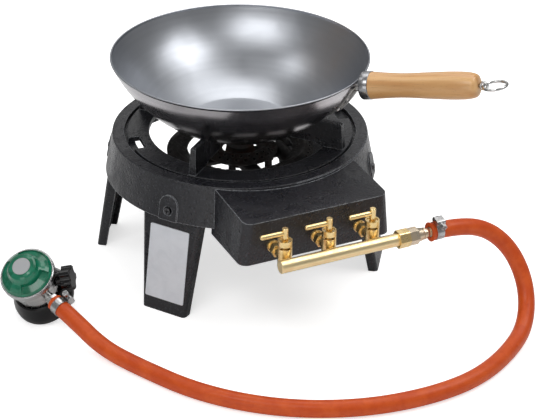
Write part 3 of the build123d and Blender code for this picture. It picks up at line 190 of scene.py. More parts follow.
# mask of the edges from the bevel: rubbed wear, and on the black castings also a painted highlight
def makeEdgeWearAndHighlight():
    group, inside, outside = startGroup(
        "edgeWearAndHighlight",
        [("Radius", "NodeSocketFloat", 0.0012), ("Patchiness", "NodeSocketFloat", 220.0)],
        [("Normal", "NodeSocketVector"), ("WearAndHighlight", "NodeSocketFloat")],
    )
    rounded = addNode(group, "ShaderNodeBevel", None, {"Radius": inside.outputs["Radius"]}, samples=6)
    flat = group.nodes.new("ShaderNodeNewGeometry")
    likeness = addNode(group, "ShaderNodeVectorMath", None,
                       {0: rounded.outputs[0], 1: flat.outputs["True Normal"]}, operation="DOT_PRODUCT")
    edge = mapRange(group, likeness.outputs["Value"], 0.985, 0.86)
    patches = addNoise(group, objectCoords(group), inside.outputs["Patchiness"], Detail=4.0, Roughness=0.7)
    broken = mapRange(group, patches, 0.34, 0.54)
    group.links.new(multiply(group, edge, broken), outside.inputs["WearAndHighlight"])
    group.links.new(rounded.outputs[0], outside.inputs["Normal"])
    return group


def makeSmudges():
    group, inside, outside = startGroup(
        "smudges",
        [
            ("Scale", "NodeSocketFloat", 35.0),
            ("Low", "NodeSocketFloat", 0.2),
            ("High", "NodeSocketFloat", 0.35),
        ],
        [("Roughness", "NodeSocketFloat"), ("Mask", "NodeSocketFloat")],
    )
    cloud = addNoise(group, objectCoords(group), inside.outputs["Scale"],
                     Detail=6.0, Roughness=0.6, Distortion=0.6)
    mask = mapRange(group, cloud, 0.35, 0.68)
    span = maths(group, "SUBTRACT", inside.outputs["High"], inside.outputs["Low"])
    rough = maths(group, "ADD", multiply(group, mask, span), inside.outputs["Low"])
    group.links.new(rough, outside.inputs["Roughness"])
    group.links.new(mask, outside.inputs["Mask"])
    return group


# rings left by a lathe or a spinning wheel, about the vertical axis
def makeSpunRings():
    group, inside, outside = startGroup(
        "spunRings",
        [("Fineness", "NodeSocketFloat", 900.0)],
        [("Height", "NodeSocketFloat"), ("Band", "NodeSocketFloat")],
    )
    centred = addNode(group, "ShaderNodeVectorMath", {1: drum}, {0: objectCoords(group)},
                      operation="SUBTRACT")
    split = addNode(group, "ShaderNodeSeparateXYZ", None, {0: centred.outputs[0]})
    across, deep, up = split.outputs
    squares = maths(group, "ADD", multiply(group, across, across), multiply(group, deep, deep))
    along = maths(group, "ADD", maths(group, "SQRT", squares), multiply(group, up, 1.3))
    # a little of the position round the axis keeps the rings from being perfect
    where = addNode(group, "ShaderNodeCombineXYZ", None, {
        0: along,
        1: multiply(group, across, 0.012),
        2: multiply(group, deep, 0.012),
    })
    lines = addNoise(group, where.outputs[0], inside.outputs["Fineness"], Detail=1.0, Roughness=0.5)
    bands = addNoise(group, where.outputs[0], 75.0, Detail=2.0)
    group.links.new(lines, outside.inputs["Height"])
    group.links.new(mapRange(group, bands, 0.35, 0.65), outside.inputs["Band"])
    return group


def makeTurnedMarks():
    group, inside, outside = startGroup(
        "turnedMarks",
        [("Scale", "NodeSocketFloat", 1400.0), ("Stretch", "NodeSocketVector", (1.0, 1.0, 1.0))],
        [("Height", "NodeSocketFloat")],
    )
    stretched = addNode(group, "ShaderNodeVectorMath", None,
                        {0: objectCoords(group), 1: inside.outputs["Stretch"]}, operation="MULTIPLY")
    marks = addNoise(group, stretched.outputs[0], inside.outputs["Scale"], Detail=3.0, Roughness=0.7)
    group.links.new(marks, outside.inputs["Height"])
    return group


castGrain = makeCastGrain()
edgeWearAndHighlight = makeEdgeWearAndHighlight()
smudges = makeSmudges()
spunRings = makeSpunRings()
turnedMarks = makeTurnedMarks()


# a material with its Principled shader, and the shader's own fixed values
def newMaterial(name, fixed):
    material = bpy.data.materials.new(name)
    material.use_nodes = True
    tree = material.node_tree
    shader = tree.nodes["Principled BSDF"]
    for socket, value in fixed.items():
        shader.inputs[socket].default_value = value
    return material, tree, shader


def placeGroup(tree, group, **values):
    node = tree.nodes.new("ShaderNodeGroup")
    node.node_tree = group
    for label, value in values.items():
        node.inputs[label].default_value = value
    return node


def addBump(tree, shader, height, strength, distance, normal=None):
    bump = addNode(tree, "ShaderNodeBump", {"Strength": strength, "Distance": distance}, {"Height": height})
    if normal is not None:
        tree.links.new(normal, bump.inputs["Normal"])
    tree.links.new(bump.outputs[0], shader.inputs["Normal"])


# finishes
# black painted casting: sand grain, soft edges where the paint is rubbed thin and a pale edge colour paints
# a highlight along them, pale flecks
def castBlackFinish(name, colour, edge, grain, bump, radius):
    material, tree, shader = newMaterial(name, {"Specular IOR Level": 0.5})
    cast = placeGroup(tree, castGrain, Grain=grain, Waves=55.0, Pits=0.45)
    wearAndHighlight = placeGroup(tree, edgeWearAndHighlight, Radius=radius, Patchiness=420.0)
    smudge = placeGroup(tree, smudges, Scale=28.0, Low=0.22, High=0.40)
    dark = tuple(c * 0.82 for c in colour)
    mottled = mixColour(tree, cast.outputs["Mottle"], dark, colour)
    light = tuple(c * 4.0 for c in colour)
    mottled = mixColour(tree, multiply(tree, cast.outputs["Flecks"], 0.6), mottled, light)
    # pale grey on the edges: partly paint rubbed thin, partly a painted highlight
    edgeColoured = mixColour(tree, multiply(tree, wearAndHighlight.outputs["WearAndHighlight"], 0.85), mottled, edge)
    tree.links.new(edgeColoured, shader.inputs["Base Color"])
    tree.links.new(smudge.outputs["Roughness"], shader.inputs["Roughness"])
    addBump(tree, shader, cast.outputs["Height"], bump, 0.0009, wearAndHighlight.outputs["Normal"])
    return material


# bare burner iron: dark, dry and coarse
def burnerIronFinish():
    material, tree, shader = newMaterial("burnerIron", {"Specular IOR Level": 0.4})
    cast = placeGroup(tree, castGrain, Grain=900.0, Waves=110.0, Pits=0.6)
    wearAndHighlight = placeGroup(tree, edgeWearAndHighlight, Radius=0.0007)
    smudge = placeGroup(tree, smudges, Scale=60.0, Low=0.5, High=0.8)
    base = mixColour(tree, cast.outputs["Mottle"], (0.008, 0.008, 0.008), (0.022, 0.021, 0.020))
    # rust gathers about the centre burner, whose head is at this height
    hottest = drum + Vector((0, 0, 0.145))
    near = mapRange(tree, distanceFrom(tree, objectCoords(tree), hottest), 0.050, 0.018, 0.05, 0.6)
    rusty = mixColour(tree, multiply(tree, smudge.outputs["Mask"], near), base, (0.11, 0.045, 0.022))
    edgeColoured = mixColour(tree, wearAndHighlight.outputs["WearAndHighlight"], rusty, (0.13, 0.125, 0.12))
    tree.links.new(edgeColoured, shader.inputs["Base Color"])
    tree.links.new(smudge.outputs["Roughness"], shader.inputs["Roughness"])
    addBump(tree, shader, cast.outputs["Height"], 0.9, 0.0005, wearAndHighlight.outputs["Normal"])
    return material


# spun steel of the bowl: rings, a brushed sheen, and soft spots of heat tint
def wokSteelFinish(name, light, dark, low, high, spots):
    material, tree, shader = newMaterial(name, {"Metallic": 1.0, "Anisotropic": 0.55})
    rings = placeGroup(tree, spunRings, Fineness=380.0)
    smudge = placeGroup(tree, smudges, Scale=14.0, Low=low, High=high)
    tangent = addNode(tree, "ShaderNodeTangent", direction_type="RADIAL", axis="Z")
    tree.links.new(tangent.outputs[0], shader.inputs["Tangent"])
    steel = mixColour(tree, rings.outputs["Band"], dark, light)
    coords = objectCoords(tree)
    for spot, reach, tint, most in spots:
        patch = mapRange(tree, distanceFrom(tree, coords, drum + Vector(spot)), reach, reach * 0.25)
        cloudy = maths(tree, "ADD", multiply(tree, smudge.outputs["Mask"], 0.5), 0.5)
        patch = multiply(tree, multiply(tree, patch, cloudy), most)
        steel = mixColour(tree, patch, steel, tint)
    tree.links.new(steel, shader.inputs["Base Color"])
    tree.links.new(smudge.outputs["Roughness"], shader.inputs["Roughness"])
    addBump(tree, shader, rings.outputs["Height"], 0.06, 0.0001)
    return material


# bare or plated metal: marks of the tool, soft edges, and a tarnish that gathers in clouds
def metalFinish(name, colour, low, high, radius, marks=1400.0, bump=0.06, tarnish=None, stretch=(1, 1, 1)):
    material, tree, shader = newMaterial(name, {"Metallic": 1.0})
    wearAndHighlight = placeGroup(tree, edgeWearAndHighlight, Radius=radius)
    smudge = placeGroup(tree, smudges, Scale=90.0, Low=low, High=high)
    turned = placeGroup(tree, turnedMarks, Scale=marks, Stretch=stretch)
    dull = tarnish or tuple(c * 0.72 for c in colour)
    shade = mixColour(tree, multiply(tree, smudge.outputs["Mask"], 0.55), colour, dull)
    bright = tuple(min(1.0, c * 1.12) for c in colour)
    shade = mixColour(tree, multiply(tree, wearAndHighlight.outputs["WearAndHighlight"], 0.6), shade, bright)
    tree.links.new(shade, shader.inputs["Base Color"])
    tree.links.new(smudge.outputs["Roughness"], shader.inputs["Roughness"])
    addBump(tree, shader, turned.outputs["Height"], bump, 0.0002, wearAndHighlight.outputs["Normal"])
    return material


# plastic, rubber and plain paint: one colour with a fine grain, a little paler on the edges
def plasticFinish(name, colour, low, high, bump, radius):
    material, tree, shader = newMaterial(name, {"Specular IOR Level": 0.42})
    wearAndHighlight = placeGroup(tree, edgeWearAndHighlight, Radius=radius)
    smudge = placeGroup(tree, smudges, Scale=70.0, Low=low, High=high)
    grain = placeGroup(tree, turnedMarks, Scale=2600.0)
    light = tuple(min(1.0, c * 1.8 + 0.004) for c in colour)
    shade = mixColour(tree, multiply(tree, wearAndHighlight.outputs["WearAndHighlight"], 0.5), colour, light)
    tree.links.new(shade, shader.inputs["Base Color"])
    tree.links.new(smudge.outputs["Roughness"], shader.inputs["Roughness"])
    addBump(tree, shader, grain.outputs["Height"], bump, 0.0002, wearAndHighlight.outputs["Normal"])
    return material


# orange rubber with a clouded tone and specks of dust
def hoseRubberFinish():
    material, tree, shader = newMaterial("hoseRubber", {"Specular IOR Level": 0.32})
    coords = objectCoords(tree)
    smudge = placeGroup(tree, smudges, Scale=32.0, Low=0.34, High=0.50)
    cloud = mapRange(tree, addNoise(tree, coords, 55.0, Detail=5.0, Roughness=0.65), 0.32, 0.7)
    tone = mixColour(tree, cloud, (0.58, 0.070, 0.009), (0.68, 0.104, 0.016))
    specks = mapRange(tree, addNoise(tree, coords, 420.0, Detail=4.0, Roughness=0.8), 0.60, 0.74)
    tone = mixColour(tree, multiply(tree, specks, 0.30), tone, (0.74, 0.25, 0.10))
    tree.links.new(tone, shader.inputs["Base Color"])
    tree.links.new(smudge.outputs["Roughness"], shader.inputs["Roughness"])
    addBump(tree, shader, addNoise(tree, coords, 900.0, Detail=3.0), 0.12, 0.0002)
    return material


gripAxis = {
    "azimuth": 38.0,
    "rise": 12.14,
    "radius": 0.1655,     # middle of the ferrule, from the bowl's axis
    "height": 0.2585,
    "end": 0.1355,        # end of the wood, along the handle
    "eye": 0.1410,        # hole of the eye
}
turn = math.radians(gripAxis["azimuth"])
gripOut = Vector((math.sin(turn), -math.cos(turn), 0))
gripSide = gripOut.cross(Vector((0, 0, 1)))
rise = math.radians(gripAxis["rise"])
gripDir = gripOut * math.cos(rise) + Vector((0, 0, math.sin(rise)))
gripStart = drum + gripOut * gripAxis["radius"] + Vector((0, 0, gripAxis["height"]))


# draws a pattern out along x: the smaller the part, the longer its marks
def drawOut(tree, coords, part):
    return addNode(tree, "ShaderNodeMapping", {"Scale": (part, 1.0, 1.0)}, {"Vector": coords}).outputs[0]


# lacquered beech: grain lines along the handle, growth rings and small flecks
def beechFinish():
    material, tree, shader = newMaterial("beechWood", {"Coat Weight": 0.35, "Coat Roughness": 0.18})
    grainTurn = Matrix((gripDir, gripSide, gripDir.cross(gripSide))).to_euler()
    turned = addNode(tree, "ShaderNodeMapping", {"Rotation": grainTurn}, {"Vector": objectCoords(tree)})
    alongGrip = drawOut(tree, turned.outputs[0], 0.055)
    rings = addNoise(tree, alongGrip, 62.0, Detail=3.0, Distortion=0.9)
    lines = addNoise(tree, alongGrip, 640.0, Detail=5.0, Roughness=0.7)
    fleckCoords = drawOut(tree, turned.outputs[0], 0.22)
    flecks = addNode(tree, "ShaderNodeTexVoronoi", {"Scale": 620.0}, {"Vector": fleckCoords})
    tone = mixColour(tree, mapRange(tree, rings, 0.36, 0.66), (0.76, 0.45, 0.195), (0.60, 0.30, 0.105))
    tone = mixColour(tree, mapRange(tree, lines, 0.52, 0.74, 0.0, 0.42), tone, (0.40, 0.185, 0.065))
    fleck = mapRange(tree, flecks.outputs["Distance"], 0.05, 0.20, 0.5, 0.0)
    tone = mixColour(tree, fleck, tone, (0.33, 0.15, 0.06))
    tree.links.new(tone, shader.inputs["Base Color"])
    tree.links.new(mapRange(tree, lines, 0.3, 0.8, 0.30, 0.52), shader.inputs["Roughness"])
    addBump(tree, shader, lines, 0.10, 0.0003)
    return material


# blank film label: off-white, faint creases, an edge that has picked up dirt
def labelFinish():
    material, tree, shader = newMaterial("blankLabel", {"Specular IOR Level": 0.5})
    wearAndHighlight = placeGroup(tree, edgeWearAndHighlight, Radius=0.0005, Patchiness=500.0)
    smudge = placeGroup(tree, smudges, Scale=55.0, Low=0.28, High=0.42)
    tone = mixColour(tree, smudge.outputs["Mask"], (0.755, 0.785, 0.83), (0.70, 0.73, 0.775))
    tone = mixColour(tree, wearAndHighlight.outputs["WearAndHighlight"], tone, (0.3, 0.3, 0.3))
    tree.links.new(tone, shader.inputs["Base Color"])
    tree.links.new(smudge.outputs["Roughness"], shader.inputs["Roughness"])
    crease = addNoise(tree, objectCoords(tree), 120.0, Detail=3.0)
    addBump(tree, shader, crease, 0.25, 0.0005, wearAndHighlight.outputs["Normal"])
    return material


# glossy green enamel with a fine orange peel
def greenEnamelFinish():
    gloss = {"Coat Weight": 0.7, "Coat Roughness": 0.05, "Specular IOR Level": 0.3}
    material, tree, shader = newMaterial("greenEnamel", gloss)
    wearAndHighlight = placeGroup(tree, edgeWearAndHighlight, Radius=0.0010)
    smudge = placeGroup(tree, smudges, Scale=80.0, Low=0.22, High=0.36)
    tone = mixColour(tree, smudge.outputs["Mask"], (0.002, 0.125, 0.062), (0.003, 0.185, 0.098))
    tone = mixColour(tree, multiply(tree, wearAndHighlight.outputs["WearAndHighlight"], 0.35), tone, (0.10, 0.42, 0.24))
    tree.links.new(tone, shader.inputs["Base Color"])
    tree.links.new(smudge.outputs["Roughness"], shader.inputs["Roughness"])
    peel = addNoise(tree, objectCoords(tree), 480.0, Detail=2.0)
    addBump(tree, shader, peel, 0.10, 0.0003, wearAndHighlight.outputs["Normal"])
    return material


finishes = {made.name: made for made in (
    # the second colour of each casting is its edge colour, partly rubbed paint and partly a painted
    # highlight
    castBlackFinish("castBlack", (0.014, 0.0145, 0.0185), (0.46, 0.48, 0.51), 430.0, 1.0, 0.0016),
    castBlackFinish("legBlack", (0.014, 0.0145, 0.018), (0.40, 0.42, 0.45), 400.0, 1.0, 0.0015),
    castBlackFinish("supportBlack", (0.013, 0.0135, 0.0165), (0.34, 0.36, 0.38), 480.0, 0.9, 0.0012),
    burnerIronFinish(),
    plasticFinish("barBlack", (0.02, 0.02, 0.021), 0.4, 0.55, 0.2, 0.0005),
    # each spot of tint: its middle from the drum's axis, its reach, its colour and how strong it is
    wokSteelFinish("wokSteel", (0.415, 0.43, 0.46), (0.395, 0.41, 0.44), 0.30, 0.38, (
        ((0.118, 0.010, 0.255), 0.075, (0.42, 0.33, 0.27), 0.55),
        ((0.085, -0.075, 0.215), 0.060, (0.30, 0.36, 0.47), 0.45),
    )),
    # the outside's steel is given a paler colour than the inside's, a painted reflection of the floor below
    wokSteelFinish("wokOutside", (0.62, 0.60, 0.62), (0.55, 0.535, 0.555), 0.17, 0.25, (
        ((-0.010, -0.160, 0.225), 0.085, (0.52, 0.45, 0.46), 0.8),
        ((0.080, -0.130, 0.205), 0.060, (0.54, 0.46, 0.45), 0.6),
    )),
    metalFinish("bracketSteel", (0.56, 0.55, 0.54), 0.26, 0.40, 0.0006),
    metalFinish("ferruleSteel", (0.34, 0.34, 0.35), 0.22, 0.34, 0.0005),
    metalFinish("ringSteel", (0.66, 0.66, 0.65), 0.12, 0.24, 0.0003),
    metalFinish("screwBlack", (0.10, 0.10, 0.105), 0.24, 0.40, 0.0004),
    metalFinish("screwSteel", (0.46, 0.46, 0.46), 0.26, 0.40, 0.0003),
    metalFinish("clampSteel", (0.50, 0.50, 0.50), 0.24, 0.36, 0.0003),
    metalFinish("tapBrass", (0.95, 0.73, 0.37), 0.22, 0.36, 0.0005,
                tarnish=(0.80, 0.56, 0.22), stretch=(0.12, 0.12, 1.0)),
    metalFinish("tubeBrass", (1.0, 0.82, 0.48), 0.32, 0.44, 0.0004,
                tarnish=(0.92, 0.70, 0.37), stretch=(0.03, 1.0, 1.0)),
    metalFinish("nickelBrass", (0.82, 0.70, 0.54), 0.24, 0.40, 0.0005,
                tarnish=(0.64, 0.48, 0.32), stretch=(1.0, 0.15, 0.15)),
    beechFinish(),
    hoseRubberFinish(),
    labelFinish(),
    plasticFinish("blackPlastic", (0.003, 0.003, 0.0035), 0.12, 0.22, 0.04, 0.0009),
    plasticFinish("blackRubber", (0.016, 0.016, 0.016), 0.55, 0.7, 0.2, 0.0005),
    metalFinish("zincCast", (0.60, 0.60, 0.59), 0.18, 0.32, 0.0008, marks=900.0, bump=0.10),
    greenEnamelFinish(),
    metalFinish("rimChrome", (0.52, 0.52, 0.52), 0.16, 0.30, 0.0005),
    plasticFinish("discSilver", (0.40, 0.41, 0.42), 0.28, 0.42, 0.08, 0.0003),
)}
finishOfNode = {
    "body_casting": "castBlack", "pan_support": "supportBlack",
    "outer_ring_burner": "burnerIron", "inner_ring_burner": "burnerIron", "centre_burner": "burnerIron",
    "carrier_bars": "barBlack", "carrier_screws": "screwSteel",
    "leg_screws": "screwBlack", "leg_nuts": "screwSteel", "leg_label": "blankLabel",
    "wok_bowl": "wokSteel", "wok_bracket": "bracketSteel", "bracket_rivets": "bracketSteel",
    "handle_tang": "bracketSteel", "handle_ferrule": "ferruleSteel", "handle_grip": "beechWood",
    "handle_eye": "ringSteel", "hanging_ring": "ringSteel",
    "tap_washers": "tapBrass", "tap_springs": "screwSteel",
    "tap_locknuts": "tapBrass", "tap_jets": "tapBrass",
    "manifold_tube": "tubeBrass", "manifold_end_cap": "tubeBrass", "manifold_nut": "tapBrass",
    "manifold_adaptor": "nickelBrass", "hose_barb": "nickelBrass", "hose": "hoseRubber",
    "hose_clamp_bands": "clampSteel", "hose_clamp_housings": "clampSteel", "hose_clamp_screws": "screwSteel",
    "regulator_skirt": "blackPlastic", "regulator_body": "zincCast", "regulator_outlet": "zincCast",
    "regulator_rim": "rimChrome", "regulator_diaphragm": "blackRubber", "regulator_cap": "greenEnamel",
    "regulator_disc": "discSilver", "regulator_spring": "screwSteel", "regulator_seal": "blackRubber",
    "regulator_knob": "blackPlastic", "regulator_spindle": "blackPlastic",
}
for corner in ("front_left", "front_right", "back_left", "back_right"):
    finishOfNode[f"leg_{corner}"] = "legBlack"
for side in ("left", "middle", "right"):
    for piece in ("body", "spindle", "lever"):
        finishOfNode[f"tap_{piece}_{side}"] = "tapBrass"


def paint(piece, finish):
    piece.data.materials.clear()
    piece.data.materials.append(finishes[finish])


for node, finish in finishOfNode.items():
    paint(cadNodes[node], finish)
print("finishes made,", len(finishes))


# modelled pieces
def finishPiece(bm, name, body, node, finish, smoothAngle=40):
    mesh = bpy.data.meshes.new(name)
    bm.to_mesh(mesh)
    bm.free()
    piece = bpy.data.objects.new(name, mesh)
    bpy.context.scene.collection.objects.link(piece)
    for face in mesh.polygons:
        face.use_smooth = True
    mesh.set_sharp_from_angle(angle=math.radians(smoothAngle))
    paint(piece, finish)
    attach(piece, body)
    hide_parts(node)
    return piece


# profile points (radius, distance along the axis) spun about an axis; a closed profile gives a ring
def spinProfile(points, origin, axis, steps, closed):
    axis = Vector(axis).normalized()
    across = axis.orthogonal().normalized()
    bm = bmesh.new()
    verts = [bm.verts.new(origin + across * radius + axis * along) for radius, along in points]
    edges = [bm.edges.new(pair) for pair in zip(verts, verts[1:])]
    if closed:
        edges.append(bm.edges.new((verts[-1], verts[0])))
    bmesh.ops.spin(bm, geom=verts + edges, cent=origin, axis=axis, angle=math.tau, steps=steps,
                   use_merge=True, use_duplicate=False)
    bmesh.ops.remove_doubles(bm, verts=bm.verts, dist=0.000002)
    bmesh.ops.recalc_face_normals(bm, faces=bm.faces)
    return bm


# points on an arc of a circle in a profile, from one angle to another in degrees
def arcPoints(centre, radius, start, end, count):
    points = []
    for step in range(count):
        angle = math.radians(start + (end - start) * step / (count - 1))
        points.append((centre[0] + radius * math.cos(angle), centre[1] + radius * math.sin(angle)))
    return points


# the bowl, spun from sheet, with a small bead round its rim and a flat bottom
bowl = {
    "centre": 0.331,        # height of the sphere's middle
    "radius": 0.168,        # of the sphere, outside
    "sheet": 0.0016,
    "flat": 0.1746,         # height of the flat bottom's underside
    "edge": 0.1534,         # radius of the rim
    "bead": 0.0010,
    "beadLift": 0.0004,     # middle of the bead above the rim
    "beadTurn": (-20, 215),
    "wallPoints": 44,
    "steps": 256,
}


def makeBowl(size):
    outerEdge = size["edge"]
    outer, inner = size["radius"], size["radius"] - size["sheet"]
    innerFlat = size["flat"] + size["sheet"]

    def wallArc(radius, startReach, endReach):
        start, end = (-math.degrees(math.acos(reach / radius)) for reach in (startReach, endReach))
        return arcPoints((0, size["centre"]), radius, start, end, size["wallPoints"])

    outerReach = math.sqrt(outer**2 - (size["centre"] - size["flat"]) ** 2)
    innerReach = math.sqrt(inner**2 - (size["centre"] - innerFlat) ** 2)
    outside = wallArc(outer, outerReach, outerEdge)
    rimZ = outside[-1][1]
    beadMiddle = (outerEdge - size["sheet"] / 2, rimZ + size["beadLift"])
    bead = arcPoints(beadMiddle, size["bead"], *size["beadTurn"], 14)
    inside = wallArc(inner, outerEdge - size["sheet"], innerReach)
    profile = [(0, size["flat"])] + outside + bead + inside[1:] + [(0, innerFlat)]
    bm = spinProfile(profile, drum, (0, 0, 1), size["steps"], False)
    piece = finishPiece(bm, "wokBowl", "wok", "wok_bowl", "wokSteel", smoothAngle=60)
    # the outside faces away from the sphere's middle; it gets the paler steel, a painted reflection of the
    # floor
    piece.data.materials.append(finishes["wokOutside"])
    middle = drum + Vector((0, 0, size["centre"]))
    for face in piece.data.polygons:
        if face.normal.dot(face.center - middle) > 0 and face.center.z < rimZ:
            face.material_index = 1


# the wooden grip, turned, with a rounded end and the neck that goes into the ferrule
grip = {
    "start": -0.0054,       # the neck's end, from the middle of the ferrule
    "neck": 0.0149,
    "mouth": 0.0053,        # where the neck ends and the grip begins
    "shape": ((0.0053, 0.0158), (0.022, 0.0148), (0.045, 0.0140), (0.075, 0.0150), (0.102, 0.0158),
              (0.122, 0.0153), (0.131, 0.0136), (0.1342, 0.0116), (0.1355, 0.0085)),
    "hole": (0.0022, 0.0019, 0.004),    # for the eye: radius at its mouth and floor, and its depth
    "points": 72,
    "steps": 96,
}


# smooth line through a few points (place, radius), as a turner's tool would follow it
def smoothLine(points, count):
    line = []
    for step in range(count):
        place = points[0][0] + (points[-1][0] - points[0][0]) * step / (count - 1)
        span = max(index for index in range(len(points) - 1) if points[index][0] <= place + 1e-9)
        around = (max(0, min(len(points) - 1, span + shift)) for shift in (-1, 0, 1, 2))
        before, here, there, after = (points[index] for index in around)
        part = (place - here[0]) / (there[0] - here[0])
        startSlope = (there[1] - before[1]) / (there[0] - before[0]) * (there[0] - here[0])
        endSlope = (after[1] - here[1]) / (after[0] - here[0]) * (there[0] - here[0])
        radius = (2 * part**3 - 3 * part**2 + 1) * here[1] + (part**3 - 2 * part**2 + part) * startSlope
        radius += (3 * part**2 - 2 * part**3) * there[1] + (part**3 - part**2) * endSlope
        line.append((radius, place))
    return line


def makeGrip(size):
    end = gripAxis["end"]
    holeMouth, holeFloor, holeDeep = size["hole"]
    profile = [(0, size["start"]), (size["neck"], size["start"]), (size["neck"], size["mouth"])]
    profile += smoothLine(size["shape"], size["points"])
    profile += [(holeMouth, end), (holeFloor, end - holeDeep), (0, end - holeDeep)]
    bm = spinProfile(profile, gripStart, gripDir, size["steps"], False)
    finishPiece(bm, "handleGrip", "wok", "handle_grip", "beechWood", smoothAngle=50)


# the ferrule: a plain pressed cup with rounded corners, open towards the grip
ferrule = {
    "back": -0.0066,
    "front": 0.0051,
    "radius": 0.0164,
    "wall": 0.0012,
    "hole": 0.0036,         # for the tang
    "corner": 0.002,
    "steps": 96,
}


def makeFerrule(size):
    radius, wall, corner, back = (size[key] for key in ("radius", "wall", "corner", "back"))
    profile = [(size["hole"], back)]
    profile += arcPoints((radius - corner, back + corner), corner, -90, 0, 8)
    profile += arcPoints((radius - wall / 2, size["front"] - wall / 2), wall / 2, 20, 160, 6)
    profile += [(radius - wall, back + 2 * wall), (size["hole"], back + wall)]
    bm = spinProfile(profile, gripStart, gripDir, size["steps"], True)
    finishPiece(bm, "handleFerrule", "wok", "handle_ferrule", "ferruleSteel", smoothAngle=35)


# the ring that the wok hangs by, straight out from the eye
hangingRing = {"radius": 0.0132, "wire": 0.00175, "steps": 72}


def makeHangingRing(size):
    centre = gripStart + gripDir * (gripAxis["eye"] + size["radius"])
    profile = arcPoints((size["radius"], 0), size["wire"], 0, 345, 24)
    bm = spinProfile(profile, centre, gripDir.cross(gripSide), size["steps"], True)
    finishPiece(bm, "hangingRing", "ring", "hanging_ring", "ringSteel", smoothAngle=80)


makeBowl(bowl)
makeGrip(grip)
makeFerrule(ferrule)
makeHangingRing(hangingRing)
print("wok and handle modelled")


# hose: its route from the burner's barb to the regulator's, from the foot of the drum's axis
hoseRoute = (
    (0.1175, -0.2576, 0.1280), (0.1510, -0.2576, 0.1280), (0.1920, -0.2570, 0.1160),
    (0.2220, -0.2660, 0.0880), (0.2330, -0.2860, 0.0530), (0.2220, -0.3130, 0.0245),
    (0.1930, -0.3410, 0.0099), (0.1220, -0.3820, 0.0099), (0.0500, -0.3920, 0.0099),
    (-0.0310, -0.3810, 0.0099), (-0.1100, -0.3450, 0.0099), (-0.1760, -0.2840, 0.0099),
    (-0.2190, -0.2070, 0.0099), (-0.2430, -0.1630, 0.0140), (-0.2613, -0.1227, 0.0320),
    (-0.2730, -0.0897, 0.0401),
)
hoseSize = {
    "length": 0.871,
    "radius": 0.00975,
    "bore": 0.0064,
    "mouth": 0.0112,        # radius of the end that is pushed over the barb
    "mouthLong": 0.007,
    "pinch": 0.0005,        # how far each clamp presses the rubber in
    "pinchAt": 0.0095,      # middle of each clamp, from the hose's end
    "pinchReach": 0.0065,   # how far to each side the clamp is felt
    "pinchEdge": 2.2,       # how steeply the rubber goes in there
    "fineness": 16,
    "steps": 36,
}


# points along the smooth line that the route's points draw
def readLine(name, route, fineness):
    curve = bpy.data.curves.new(name, "CURVE")
    curve.dimensions = "3D"
    spline = curve.splines.new("NURBS")
    spline.points.add(len(route) - 1)
    for point, place in zip(spline.points, route):
        point.co = (*(drum + Vector(place)), 1)
    spline.order_u = 3
    spline.use_endpoint_u = True
    spline.resolution_u = fineness
    line = bpy.data.objects.new(name, curve)
    sampled = bpy.data.meshes.new_from_object(line)
    points = [vert.co.copy() for vert in sampled.vertices]
    bpy.data.objects.remove(line)
    bpy.data.meshes.remove(sampled)
    return points


# radius of the rubber at a place on the hose: swollen over the barb, pressed in under each clamp
def hoseRadius(size, along, total):
    swell = max(0.0, 1 - along / size["mouthLong"])
    radius = size["radius"] + (size["mouth"] - size["radius"]) * swell**2 * (3 - 2 * swell)
    fromEnd = min(along, total - along)
    press = max(0.0, 1 - abs(fromEnd - size["pinchAt"]) / size["pinchReach"])
    return radius - size["pinch"] * min(1.0, press * size["pinchEdge"])


# a ring for the outside and one for the bore at each point, bridged to the two before
def makeHose(route, size):
    points = readLine("hoseLine", route, size["fineness"])
    reaches = [0.0]
    for before, after in zip(points, points[1:]):
        reaches.append(reaches[-1] + (after - before).length)
    total = reaches[-1]
    bm = bmesh.new()
    across = Vector((0, 0, 1))
    before = []
    for index, (point, reach) in enumerate(zip(points, reaches)):
        ahead = (points[min(index + 1, len(points) - 1)] - points[max(index - 1, 0)]).normalized()
        across = (across - ahead * across.dot(ahead)).normalized()
        turned = Matrix((across, ahead.cross(across), ahead)).transposed().to_4x4()
        loops = []
        for radius in (hoseRadius(size, reach, total), size["bore"]):
            made = bmesh.ops.create_circle(bm, segments=size["steps"], radius=radius,
                                           matrix=Matrix.Translation(point) @ turned)
            loops.append(list({edge for vert in made["verts"] for edge in vert.link_edges}))
        for old, new in zip(before, loops):
            bmesh.ops.bridge_loops(bm, edges=old + new)
        if index in (0, len(points) - 1):
            bmesh.ops.bridge_loops(bm, edges=loops[0] + loops[1])
        before = loops
    bmesh.ops.recalc_face_normals(bm, faces=bm.faces)
    hose = finishPiece(bm, "gasHose", "stove", "hose", "hoseRubber", smoothAngle=50)


makeHose(hoseRoute, hoseSize)
print("hose laid")


# floor, lamps and world
floorLook = {
    "half": 12,             # half of its side
    "colour": (0.93, 0.93, 0.93, 1),
    "roughness": 0.9,
    "shine": 0.1,
    "glow": 0.62,           # only as the camera sees it
}
worldStrength = 0.27


def addFloor(look):
    bm = bmesh.new()
    bmesh.ops.create_grid(bm, x_segments=1, y_segments=1, size=look["half"])
    mesh = bpy.data.meshes.new("studioFloor")
    bm.to_mesh(mesh)
    bm.free()
    floor = bpy.data.objects.new("studioFloor", mesh)
    bpy.context.scene.collection.objects.link(floor)
    material, tree, shader = newMaterial("floorWhite", {
        "Base Color": look["colour"],
        "Roughness": look["roughness"],
        "Specular IOR Level": look["shine"],
        "Emission Color": (1, 1, 1, 1),
    })
    rays = tree.nodes.new("ShaderNodeLightPath")
    glow = multiply(tree, rays.outputs["Is Camera Ray"], look["glow"])
    tree.links.new(glow, shader.inputs["Emission Strength"])
    mesh.materials.append(material)


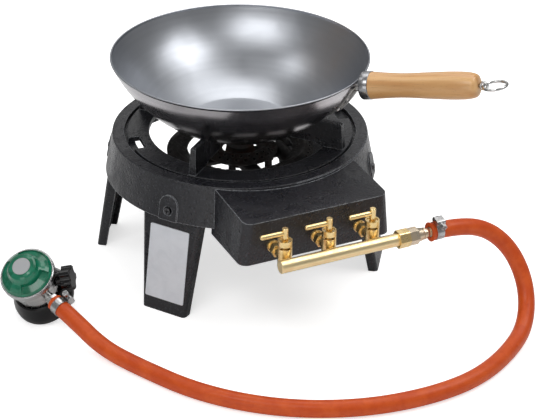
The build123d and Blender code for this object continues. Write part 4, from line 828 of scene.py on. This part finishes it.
def addSoftbox(name, place, target, width, height, watts):
    data = bpy.data.lights.new(name, "AREA")
    data.shape = "RECTANGLE"
    data.size = width
    data.size_y = height
    data.energy = watts
    lamp = bpy.data.objects.new(name, data)
    bpy.context.scene.collection.objects.link(lamp)
    facing = (place - target).to_track_quat("Z", "Y")
    lamp.matrix_world = Matrix.Translation(place) @ facing.to_matrix().to_4x4()


# white to the camera and through glass, and a dim even light for all else
def addWorld(strength):
    world = bpy.data.worlds.new("studioWorld")
    world.use_nodes = True
    bpy.context.scene.world = world
    tree = world.node_tree
    background = tree.nodes["Background"]
    background.inputs["Color"].default_value = (1, 1, 1, 1)
    background.inputs["Strength"].default_value = strength
    seen = addNode(tree, "ShaderNodeBackground", {"Color": (1, 1, 1, 1), "Strength": 1.0})
    rays = tree.nodes.new("ShaderNodeLightPath")
    direct = maths(tree, "MAXIMUM", rays.outputs["Is Camera Ray"], rays.outputs["Is Transmission Ray"])
    mixed = addNode(tree, "ShaderNodeMixShader", None,
                    {0: direct, 1: background.outputs[0], 2: seen.outputs[0]})
    tree.links.new(mixed.outputs[0], tree.nodes["World Output"].inputs["Surface"])


# each softbox: its place and target from the foot of the drum's axis, its width, height and watts
softboxes = {
    "leftSoftbox": ((-0.82, -0.77, 1.48), (0, 0, 0.2), 1.05, 0.55, 7.2),
    "rightSoftbox": ((0.92, -0.57, 1.53), (0, 0, 0.2), 0.85, 0.75, 8.3),
    "topSoftbox": ((0.41, 0.49, 1.78), (0, 0, 0.2), 1.5, 1.1, 11.5),
    "backSoftbox": ((-0.82, 0.50, 1.62), (0, 0, 0.2), 0.5, 0.5, 1.8),
    "lowBackSoftbox": ((0.68, 1.45, 1.08), (0, 0, 0.18), 1.0, 0.7, 1.6),
    "frontSoftbox": ((-1.5, -1.5, 0.45), (0, 0, 0.1), 1.2, 0.7, 4.5),
}
addFloor(floorLook)
addWorld(worldStrength)
for name, (place, target, width, height, watts) in softboxes.items():
    addSoftbox(name, drum + Vector(place), drum + Vector(target), width, height, watts)
bpy.context.scene.view_settings.view_transform = "Standard"
print("lights and floor placed")
